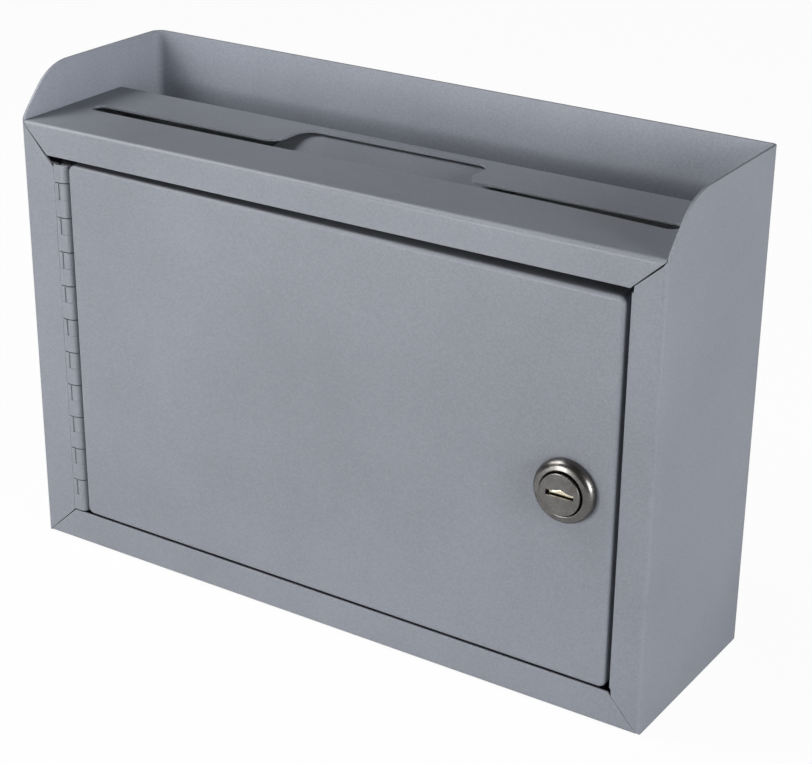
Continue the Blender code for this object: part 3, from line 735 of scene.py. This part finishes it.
@dataclass
class Deck(Assembly):
    """Head rail, slotted deck and dividing wall: one folded sheet, and the guard plate under it."""

    rail_low: float = 149.5
    bend: float = 1.8
    rear_bend: float = 1.2
    rear: float = 52.5
    foot: float = 10.0
    half: float = WIDTH / 2 - SHEET - 0.12
    slot_half: float = 113.9
    slot_front: float = 23.7
    slot_rear: float = 30.3
    slot_bow: float = 2.0
    slot_skew: float = 0.6
    notch_half: float = 37.0
    notch_rear: float = 47.3
    notch_radius: float = 6.0
    mouth_radius: float = 5.5
    mitre: Pair = (10.8, 11.7)
    guard_half: float = 42.8
    guard_front: float = 22.5
    guard_drop: float = 6.2
    guard_lip: Pair = (2.5, 3.0)
    guard_leg: float = 22.0
    guard_bends: Pair = (1.5, 1.3)

    def openings(self) -> tuple[np.ndarray, np.ndarray]:
        """Front and rear edges of the slot and notch, column by column, from end to end.

        The rear edge goes round a quarter of an ellipse at each end, along the slot, back through
        the mouth's arc, up the notch's side and round its corner. The front edge bows in by the
        sine of the squared share of its length. Both are skewed in proportion to X.

        Returns:
            Both edges as X and Y, with the two meeting in a round end at each side.
        """
        middle = (self.slot_rear + self.slot_front) / 2
        tip = self.slot_rear - middle
        straight = self.slot_half - tip
        mouth = self.notch_half + self.mouth_radius
        corner = self.notch_half - self.notch_radius
        side_low, side_high = self.slot_rear + self.mouth_radius, self.notch_rear - self.notch_radius
        end = arc((straight, middle), tip, 0, 90, 10)
        run = np.column_stack([spread([straight, mouth], [22]), np.full(23, self.slot_rear)])[1:-1]
        turn = arc((mouth, side_low), self.mouth_radius, 270, 180, 10)
        side = np.column_stack([np.full(3, self.notch_half), np.linspace(side_low, side_high, 5)[1:-1]])
        back = arc((corner, side_high), self.notch_radius, 0, 90, 10)
        rear_half = np.vstack([end, run, turn, side, back])
        bridge = spread([corner, -corner], [24])[1:-1]
        rear = np.vstack([rear_half, np.column_stack([bridge, np.full_like(bridge, self.notch_rear)])])
        rear = np.vstack([rear, rear_half[::-1] * (-1, 1)])[::-1]
        along = np.concatenate([[0], np.cumsum(np.hypot(*np.diff(rear, axis=0).T))])
        ends = len(end) - 1
        share = (along - along[ends]) / (along[-1 - ends] - along[ends])
        x = straight * (2 * share - 1)
        y = self.slot_front + self.slot_bow * np.sin(math.pi * np.clip(share, 0, 1) ** 2)
        front = np.column_stack([x, y])
        near = arc((-straight, middle), tip, 180, 270, ends)
        front[:ends + 1] = near
        front[-1 - ends:] = near[::-1] * (-1, 1)
        for edge in (front, rear):
            edge[:, 1] += self.slot_skew * edge[:, 0] / self.slot_half
        return front, rear

    def sheet(self) -> Shell:
        """The sheet as rows along its folds and columns across the box, open at the slot and notch."""
        front, rear = self.openings()
        margin = spread([self.half, self.slot_half], [6])[:-1]
        middle = (self.slot_front + self.slot_rear) / 2
        outer = np.column_stack([margin, np.full_like(margin, middle)])
        front = np.vstack([outer * (-1, 1), front, outer[::-1]])
        rear = np.vstack([outer * (-1, 1), rear, outer[::-1]])
        x = front[:, 0]
        rise = folded([(0, self.rail_low), (0, DECK_Z), (middle, DECK_Z)], [self.bend])
        rise = np.vstack([rise[:1] + (rise[1] - rise[0]) * spread([0, 1], [4])[:-1, None], rise[1:-1]])
        rows = []
        for y, z in rise:
            inset = np.clip((DECK_Z - z) / (DECK_Z - self.rail_low), 0, 1)
            reach = [self.half, self.half]
            if z < DECK_Z - 0.5:
                reach = [min(self.half, WIDTH / 2 - 0.2 - inset * (cut - 0.2)) for cut in self.mitre]
            limit = np.where(x < 0, reach[0], reach[1])
            outer_part = np.clip((np.abs(x) - 100) / (self.half - 100), 0, 1)
            drawn = np.sign(x) * (np.minimum(np.abs(x), 100) + outer_part * (limit - 100))
            rows.append(np.column_stack([drawn, np.full_like(x, y), np.full_like(x, z)]))
        start = rise[-1, 0]
        for share in spread([0, 1], [5])[1:]:
            y = start + share * (front[:, 1] - start)
            rows.append(np.column_stack([x, y, np.full_like(x, DECK_Z)]))
        split = len(rows)
        rows.append(np.column_stack([rear, np.full_like(x, DECK_Z)]))
        low = SHEET + GAP
        corners = [(middle, DECK_Z), (self.rear, DECK_Z), (self.rear, low), (self.rear - self.foot, low)]
        fall = folded(corners, [self.rear_bend] * 2)[1:]
        for share in spread([0, 1], [6])[1:-1]:
            flat = rear + share * (np.column_stack([x, np.full_like(x, fall[0, 0])]) - rear)
            rows.append(np.column_stack([flat, np.full_like(x, DECK_Z)]))
        rows.extend(np.column_stack([x, np.full_like(x, y), np.full_like(x, z)]) for y, z in fall)
        grid = tilted(np.stack(rows))
        keep = np.ones((len(grid) - 1, len(x) - 1), bool)
        keep[split - 1] = False
        return net(grid, keep)

    def guard(self) -> Shell:
        """The guard plate's upper face: a lip, a slope up to the deck, and a leg down the dividing wall."""
        back, top = self.rear - SHEET - GAP, DECK_Z - SHEET - GAP
        drop, front = self.guard_drop, self.guard_front
        lip = (front - self.guard_lip[0], top - drop - self.guard_lip[1])
        corners = [lip, (front, top - drop), (back, top), (back, top - self.guard_leg)]
        side = subdivided(folded(corners, self.guard_bends), 4.0)
        across = np.linspace(-self.guard_half, self.guard_half, 25)
        grid = np.empty((len(side), len(across), 3))
        grid[..., 0] = across
        grid[..., 1:] = side[:, None, :]
        return net(tilted(grid))

    def build(self) -> None:
        """Makes the sheet and the guard plate."""
        sheet = plate("slotted_deck", self.sheet(), Rim.PAINTED)
        self.place(sheet, "cabinet", ENAMEL, "grey_paint", "top_sheet")
        guard = plate("guard_plate", self.guard(), Rim.PAINTED)
        self.place(guard, "cabinet", ENAMEL, "grey_paint", "chute_guard")


@dataclass
class Floor(Assembly):
    """Sill rail, floor and rear flange: one folded sheet with slanted sill ends."""

    sill: float = 12.5
    flange: float = 11.0
    bend: float = 1.8
    rear_bend: float = 1.2
    stiles: Pair = (13.7, 11.55)
    inset: float = 0.15

    def build(self) -> None:
        """Carries the folded section across the box, drawing its ends in where the sill is mitred."""
        back = DEPTH - SHEET - GAP
        corners = [(back, self.flange), (back, 0), (0, 0), (0, self.sill)]
        section = subdivided(folded(corners, [self.rear_bend, self.bend]), 6.0)
        half = WIDTH / 2 - SHEET - GAP
        y, z = section.T
        inset = np.where(y < self.bend, np.clip(z / self.sill, 0, 1), 0.0)
        widest = WIDTH / 2 - self.inset
        left, right = (np.minimum(half, widest - inset * (stile - self.inset)) for stile in self.stiles)
        across = np.linspace(0, 1, 61)
        grid = np.empty((len(section), len(across), 3))
        grid[..., 0] = -left[:, None] + across * (left + right)[:, None]
        grid[..., 1:] = section[:, None, :]
        piece = plate("floor_and_sill", net(grid), Rim.PAINTED)
        self.place(piece, "cabinet", ENAMEL, "grey_paint", "floor_pan")


# ------------------------------------------------------------------ hinge


@dataclass
class Hinge(Assembly):
    """A piano hinge: two leaves rolled by turns round one wire."""

    knuckles: int = 21
    pitch: float = 6.35
    low: float = 13.0
    barrel: float = 2.6
    leaf: float = 1.0
    touching: float = 0.06
    clearance: float = 0.3
    paint: float = 0.04
    axis_x: float = JOINT_AT["door_swing"][0]
    step_x: float = LEFT + 13.5
    leaf_back: float = 11.5
    leaf_inset: float = 2.5
    lap: float = 1.3
    lap_share: float = 0.22

    def rows(self, first: int, last: int) -> np.ndarray:
        """Lower and upper heights of the knuckles, one after the other.

        The door's knuckles rest on the frame's, so each has its clearance above it.

        Args:
            first: The lowest knuckle, counted from the bottom.
            last: The highest one.

        Returns:
            Two heights for each knuckle.
        """
        index = np.arange(first, last + 1)
        low = self.low + index * self.pitch + self.touching / 2
        clear = np.where(index % 2 == 1, self.clearance, 0.0)
        high = self.low + (index + 1) * self.pitch - self.touching / 2 - clear
        return np.column_stack([low, high]).ravel()

    def leaf_net(
        self, flat: np.ndarray, roll: np.ndarray, ends: tuple[int, int], slots: tuple[int, int]
    ) -> Shell:
        """A leaf: its flat part at every height, and its roll only at its own knuckles.

        Args:
            flat: The flat part's plan.
            roll: The roll's plan.
            ends: The lowest and highest knuckle. The leaf owns every other one from the lowest.
            slots: Where the leaf is cut off between knuckles, and at the other leaf's knuckles.

        Returns:
            The leaf's outer face.
        """
        levels = self.rows(*ends)
        path = np.vstack([flat, roll])
        grid = np.empty((len(levels), len(path), 3))
        grid[..., :2] = path
        grid[..., 2] = levels[:, None]
        keep = np.ones((len(levels) - 1, len(path) - 1), bool)
        keep[1::2, slots[0]:] = False
        keep[2::4, slots[1]:] = False
        return net(grid, keep)

    def taper(self, piece: bpy.types.Object, edge: float) -> None:
        """Thins the frame leaf where it laps the other leaf's knuckles, at one X."""
        place = np.empty(len(piece.data.vertices) * 3)
        piece.data.vertices.foreach_get("co", place)
        at_edge = np.abs(place[0::3] - edge * MM) < 1e-5
        thick = piece.vertex_groups.new(name="thickness")
        thick.add(np.flatnonzero(~at_edge).tolist(), 1.0, "REPLACE")
        thick.add(np.flatnonzero(at_edge).tolist(), 0.0, "REPLACE")
        wall = piece.modifiers["Wall"]
        wall.vertex_group = thick.name
        wall.thickness_vertex_group = self.lap_share

    def build(self) -> None:
        """Makes both leaves and keeps the wire."""
        centre = (self.axis_x, self.barrel)
        behind = SHEET + GAP
        radius = self.barrel - self.paint
        step, lap = self.step_x + 0.06, self.axis_x - self.lap
        flat = [(LEFT + self.leaf_inset, behind), (step, behind)]
        flat += [(x, self.paint) for x in (step, step + 0.3, lap)]
        roll = arc(centre, radius, -98, 150, 36)
        frame_leaf = self.leaf_net(np.array(flat), roll, (0, self.knuckles - 1), (3, 4))
        piece = plate("frame_hinge_leaf", frame_leaf, Rim.FINE, self.leaf - 0.05)
        self.taper(piece, lap)
        self.place(piece, "cabinet", ENAMEL, "grey_paint", "hinge_frame_leaf")
        face = self.axis_x + radius
        back = np.array([(face, self.leaf_back), (face, self.barrel + 3.0)])
        roll = arc(centre, radius, 0, -293, 40)
        door_leaf = self.leaf_net(back, roll, (1, self.knuckles - 2), (1, 1)).flipped()
        piece = plate("door_hinge_leaf", door_leaf, Rim.FINE, self.leaf - 0.05)
        self.place(piece, "door", ENAMEL, "grey_paint", "hinge_door_leaf")
        self.dress("hinge_pin", ZINC)


# ------------------------------------------------------------------ door


@dataclass
class Door(Assembly):
    """A shallow pan: a face with a flange folded back along each side, and the lock's hole."""

    left: float = LEFT + 19.85
    right: float = LEFT + 234.75
    low: float = 12.95
    top: Pair = (147.2, 146.4)
    flange: float = 9.0
    bend: float = 1.5
    corner: float = 2.6
    hole: float = 9.7
    hole_flat: float = 8.7

    def outline(self, inset: float, count: int = 12) -> np.ndarray:
        """The door's outline with round corners, drawn in by an inset.

        Args:
            inset: How far inside the door's edge.
            count: Steps round each corner.

        Returns:
            X and Z of each point, anticlockwise from in front, from the low right corner.
        """
        radius = self.corner
        sides = (self.left + radius, self.right - radius)
        corners = [
            (sides[1], self.low + radius, -90),
            (sides[1], self.top[1] - radius, 0),
            (sides[0], self.top[0] - radius, 90),
            (sides[0], self.low + radius, 180),
        ]
        arcs = [arc((x, z), radius - inset, start, start + 90, count) for x, z, start in corners]
        parts = []
        for here, following in zip(arcs, [*arcs[1:], arcs[0]]):
            between = here[-1] + (following[0] - here[-1]) * np.linspace(0, 1, 21)[1:-1, None]
            parts += [here, between]
        return np.vstack(parts)

    def lock_hole(self, count: int) -> np.ndarray:
        """The double-D hole: a circle with two flats, sampled by angle as the outline is."""
        line = self.outline(self.bend)
        angle = np.unwrap(np.arctan2(line[:, 1] - LOCK_AT[2], line[:, 0] - LOCK_AT[0]))
        even = np.linspace(angle[0], angle[0] + 2 * math.pi, count, endpoint=False)
        circle = self.hole * np.column_stack([np.cos(even), np.sin(even)])
        circle[:, 0] = np.clip(circle[:, 0], -self.hole_flat, self.hole_flat)
        return circle + (LOCK_AT[0], LOCK_AT[2])

    def build(self) -> None:
        """Joins the hole to the face's edge, rolls that edge back through the bend, and adds the flange."""
        turn = np.radians(np.linspace(0, 90, 9))
        insets = self.bend * (1 - np.sin(turn))
        depths = self.bend * (1 - np.cos(turn))
        outlines = [self.outline(inset) for inset in insets]
        hole = self.lock_hole(len(outlines[0]))
        between = [hole + share * (outlines[0] - hole) for share in (0.0, 0.03, 0.3, 0.65)]
        flange = np.linspace(self.bend, self.flange, 4)[1:]
        lines = [*between, *outlines, *[outlines[-1]] * len(flange)]
        levels = [0.0] * len(between) + depths.tolist() + flange.tolist()
        piece = plate("door_pan", rings(lines, levels).flipped(), Rim.PAINTED)
        self.place(piece, "door", ENAMEL, "grey_paint", "door_panel")


# ------------------------------------------------------------------ lock


@dataclass
class Lock(Assembly):
    """A cam lock: domed bezel, plug with its keyway and flap, nut, washers, stop, cam and screw."""

    bezel: float = 10.8
    proud: float = 3.7
    shoulder: float = 2.9
    plug: float = 7.1
    plug_proud: float = 4.6
    plug_edge: float = 0.25
    bore: float = 7.4
    thread: float = 9.3
    thread_flat: float = 8.4
    thread_pitch: float = 1.0
    thread_depth: float = 0.28
    barrel_end: float = 11.0
    keyway_half: float = 4.9
    keyway_low: float = 0.9
    hump: float = 0.9
    hump_half: float = 3.1
    keyway_end: float = 6.4
    tang: float = 4.0
    tang_end: float = 14.2
    nut_span: Pair = (2.3, 5.3)
    nut_half: float = 11.0
    cam_reach: float = 24.0
    cam_half: float = 5.5
    cam_hub: float = 8.6
    cam_tip: float = 2.5
    cam_span: Pair = (12.3, 13.9)

    def around(self, lines: Sequence[np.ndarray], levels: Sequence[float]) -> Shell:
        """Outlines about the lock's axis, joined in order, each at its own depth."""
        return rings([line + (LOCK_AT[0], LOCK_AT[2]) for line in lines], levels)

    def keyway(self, inset: float, count: int = 96) -> np.ndarray:
        """The keyway's outline: a flat slot with a cosine hump in the middle of its upper edge.

        Args:
            inset: How far inside the keyway's wall.
            count: How many points.

        Returns:
            X and Z of each point from the lock's axis, anticlockwise from the right.
        """
        half, low = self.keyway_half - inset, self.keyway_low - inset
        across = np.linspace(-1, 1, 25)
        hump = self.hump * (0.5 + 0.5 * np.cos(math.pi * across))
        upper = np.column_stack([across * self.hump_half, low + hump])[::-1]
        lower = [(-half, low), (-half, -low), (half, -low), (half, 0)]
        return resampled(np.vstack([[(half, 0), (half, low)], upper, lower]), count)

    def circle(self, radius: float, flat: float = 99.0, count: int = 96) -> np.ndarray:
        """A circle about the lock's axis, cut off at both sides by flats."""
        ring = arc((0, 0), radius, 0, 360, count)[:-1]
        ring[:, 0] = np.clip(ring[:, 0], -flat, flat)
        return ring

    def housing(self) -> Shell:
        """The bezel's dome, its inner rim and bore, and the barrel behind it with a rolled thread.

        The dome leaves the door upright, rolls over a wide shoulder and dips a little before the rim.
        """
        hub = -self.proud + self.shoulder
        shoulder = arc((self.bezel - self.shoulder + 0.1, hub), self.shoulder - 0.1, 0, -72, 20)
        rim = arc((self.bore + 0.5, -self.proud + 0.5), 0.5, -80, -180, 12)
        front = np.vstack([[(self.bezel, -GAP)], shoulder, rim])
        count = int((self.barrel_end - 1.0) / self.thread_pitch * 6)
        depth = np.linspace(0.6, self.barrel_end, count)
        wave = 0.5 + 0.5 * np.cos(2 * math.pi * depth / self.thread_pitch)
        outer = [self.circle(radius) for radius, _ in front[::-1]]
        levels = list(front[::-1, 1])
        lines = [self.circle(self.bore), *outer, self.circle(self.thread + 0.1, self.thread_flat)]
        levels = [self.barrel_end, *levels, -GAP]
        lines += [self.circle(self.thread - self.thread_depth * (1 - w), self.thread_flat) for w in wave]
        levels += depth.tolist()
        lines.append(self.circle(self.bore))
        levels.append(self.barrel_end)
        return self.around(lines, levels).flipped()

    def core(self) -> Shell:
        """The plug: keyway walls, a chamfered face, its round side and back, and the square tang."""
        ring = self.circle(1.0)
        square = self.tang / np.abs(ring).max(axis=1)[:, None] * ring
        edge = self.plug_edge
        lines = [self.keyway(0.0), self.keyway(0.0), self.keyway(-0.12), self.circle(self.plug - edge)]
        levels = [self.keyway_end, -self.plug_proud + 0.12, -self.plug_proud, -self.plug_proud]
        bevel = np.radians(np.linspace(0, 90, 7))[1:]
        lines += [self.circle(self.plug - edge + edge * math.sin(a)) for a in bevel]
        levels += [-self.plug_proud + edge * (1 - math.cos(a)) for a in bevel]
        lines += [self.circle(self.plug), square, square]
        levels += [self.barrel_end, self.barrel_end, self.tang_end]
        shell = self.around(lines, levels).flipped()
        count = len(lines[0])
        shell = capped(shell, np.arange(count), 1)
        return capped(shell, np.arange(count) + count * (len(lines) - 1), -1)

    def flap(self) -> Shell:
        """The keyway's flap: the keyway's shape with a crown down its middle."""
        y = JOINT_AT["shutter_flip"][1] - FRONT_Y
        shape = self.keyway(GAP)
        lines = [shape, shape, shape * (0.86, 0.7), shape * (0.45, 0.35)]
        levels = [y + 0.25, y - 0.12, y - 0.2, y - 0.25]
        shell = self.around(lines, levels)
        count = len(shape)
        shell = capped(shell, np.arange(count), -1)
        return capped(shell, np.arange(count) + count * 3, 1)

    def nut(self) -> Shell:
        """A hexagon nut: six flats whose corners are turned away by a cone at each face."""
        (low, high), half, bore = self.nut_span, self.nut_half, self.thread + 0.25
        corner = 0.55
        ring = self.circle(1.0)
        angle = np.arctan2(ring[:, 1], ring[:, 0])
        sector = (angle + math.pi / 6) % (math.pi / 3) - math.pi / 6
        hexagon = ring * (half / np.cos(sector))[:, None]
        chamfer = np.minimum(np.hypot(*hexagon.T), half + 0.1)[:, None] * ring
        inner, mouth = ring * bore, ring * (bore + 0.4)
        lines = [inner, inner, mouth, chamfer, hexagon, hexagon, chamfer, mouth, inner]
        levels = [high - 0.3, low + 0.3, low, low, low + corner, high - corner, high, high, high - 0.3]
        return self.around(lines, levels).flipped()

    def cam(self) -> Shell:
        """The cam: a round hub that narrows to a bar with round corners, and a square hole."""
        reach, half, hub, tip = self.cam_reach, self.cam_half, self.cam_hub, self.cam_tip
        right = np.vstack([[(hub - 0.6, 4.5), (half, 11.0)], arc((half - tip, reach - tip), tip, 0, 90, 8)])
        low_right, low_left = arc((0, 0), hub, -90, 0, 14), arc((0, 0), hub, 180, 270, 14)
        line = np.vstack([low_right, right, right[::-1] * (-1, 1), low_left])
        outer = resampled(line, 96)
        ring = np.roll(self.circle(1.0), 24, axis=0)
        hole = (self.tang + GAP) / np.abs(ring).max(axis=1)[:, None] * ring
        low, high = self.cam_span
        lines = [hole, hole, outer, outer, hole]
        levels = [high, low, low, high, high]
        return self.around(lines, levels).flipped()

    def build(self) -> None:
        """Makes the lock's pieces on the door, then those that turn, then the flap."""
        housing = make("lock_bezel", self.housing())
        crisp(housing, angle=50)
        self.place(housing, "door", NICKEL, "satin_nickel", "lock_housing")
        nut = make("hex_nut", self.nut())
        rounded(nut, 0.08, angle=25)
        self.place(nut, "door", ZINC, "zinc_steel", "lock_nut")
        core = make("turning_plug", self.core())
        crisp(core, angle=35)
        self.place(core, "lock_core", NICKEL, "satin_nickel", "lock_plug")
        cam = make("cam_bar", self.cam())
        rounded(cam, 0.18, angle=40)
        self.place(cam, "lock_core", ZINC, "zinc_steel", "lock_cam")
        flap = make("keyway_flap", self.flap())
        self.place(flap, "shutter", BRASS, "bright_brass", "key_shutter")
        for node in ("lock_washer", "stop_washer", "cam_washer", "cam_screw"):
            self.dress(node, ZINC)
        for node in ("lock_wafer_1", "lock_wafer_2", "lock_wafer_3", "lock_wafer_4"):
            self.dress(node, BRASS)


# ------------------------------------------------------------------ studio


@dataclass
class Studio:
    """A pale floor, soft lights and the camera."""

    eye: Triple = (0.35862, -0.53485, 0.36674)
    turn: Triple = (65.944, -0.520, 33.113)
    lens: float = 90.99
    sensor: float = 36.0
    fill: float = 0.08
    glow: float = 0.96
    bounce: float = 0.1

    def camera(self) -> None:
        """A long lens, a little above the box and to its right."""
        lens = bpy.data.cameras.new("view")
        lens.sensor_width = self.sensor
        lens.lens = self.lens
        lens.clip_start = 0.05
        camera = bpy.data.objects.new("view", lens)
        camera.location = self.eye
        camera.rotation_euler = [math.radians(angle) for angle in self.turn]
        bpy.context.scene.collection.objects.link(camera)
        bpy.context.scene.camera = camera

    def lamp(self, name: str, at: Triple, size: float, power: float, colour: Triple = (1, 1, 1)) -> None:
        """A square soft light that looks at the middle of the box."""
        lamp = bpy.data.lights.new(name, "AREA")
        lamp.size = size
        lamp.energy = power
        lamp.color = colour
        holder = bpy.data.objects.new(name, lamp)
        aim = Vector((0.0, 0.0, 0.09)) - Vector(at)
        holder.matrix_world = Matrix.Translation(at) @ aim.to_track_quat("-Z", "Y").to_matrix().to_4x4()
        bpy.context.scene.collection.objects.link(holder)

    def floor(self) -> None:
        """A wide pale floor just under the box, with a strong glow to the camera and a weak one for it."""
        corners = np.array([(-4, -4, -0.0005), (4, -4, -0.0005), (4, 4, -0.0005), (-4, 4, -0.0005)]) / MM
        ground = make("floor", Shell(corners, [(0, 1, 2, 3)]))
        material, nodes, shader = new_material("pale_floor")
        shader.inputs["Base Color"].default_value = (0.86, 0.86, 0.87, 1.0)
        shader.inputs["Roughness"].default_value = 0.9
        glow = nodes.add("Emission", Strength=1.0)
        seen = nodes.math("MULTIPLY", nodes.add("LightPath").outputs["Is Camera Ray"], self.glow)
        seen = nodes.math("MAXIMUM", seen, self.bounce)
        blend = nodes.add("MixShader")
        nodes.link(seen, blend.inputs[0])
        nodes.link(shader.outputs[0], blend.inputs[1])
        nodes.link(glow.outputs[0], blend.inputs[2])
        nodes.link(blend.outputs[0], nodes.tree.nodes["Material Output"].inputs["Surface"])
        ground.data.materials.append(material)

    def sky(self) -> None:
        """A white surround to the camera, and a weak even light for everything else."""
        world = bpy.data.worlds.new("surround")
        world.use_nodes = True
        bpy.context.scene.world = world
        nodes = Nodes(world.node_tree)
        back = world.node_tree.nodes["Background"]
        up = nodes.add("SeparateXYZ", Vector=nodes.add("TexCoord").outputs["Generated"]).outputs["Z"]
        shade = nodes.mix(nodes.ramp(up, 0.0, 0.8), (1.0, 1.0, 1.0, 1.0), (0.6, 0.61, 0.63, 1.0))
        nodes.link(shade, back.inputs["Color"])
        back.inputs["Strength"].default_value = self.fill
        plain = nodes.add("Background")
        plain.inputs["Color"].default_value = (1.0, 1.0, 1.0, 1.0)
        choose = nodes.add("MixShader")
        nodes.link(nodes.add("LightPath").outputs["Is Camera Ray"], choose.inputs[0])
        nodes.link(back.outputs[0], choose.inputs[1])
        nodes.link(plain.outputs[0], choose.inputs[2])
        nodes.link(choose.outputs[0], nodes.tree.nodes["World Output"].inputs["Surface"])

    def build(self) -> None:
        """Sets the whole studio up."""
        self.camera()
        self.floor()
        self.sky()
        self.lamp("front_left", (-0.5, -1.3, 0.35), 0.35, 4.0)
        self.lamp("right_side", (1.4, -0.3, 0.4), 0.6, 16.0, (0.97, 0.98, 1.0))
        self.lamp("near_front", (-0.2, -0.6, 0.14), 0.2, 1.15)
        self.lamp("high_left", (-0.6, -0.25, 0.8), 0.5, 6.5)
        bpy.context.scene.view_settings.view_transform = "Standard"


def main() -> None:
    """Builds the studio and every assembly in order, then notes the sizes."""
    logging.basicConfig(level=logging.INFO, format="%(name)s: %(message)s")
    Studio().build()
    finishes = Finishes()
    makers: list[Callable[[Finishes], Assembly]] = [Wrap, Deck, Floor, Hinge, Door, Lock]
    for maker in makers:
        maker(finishes).build()


if __name__ == "__main__":
    main()
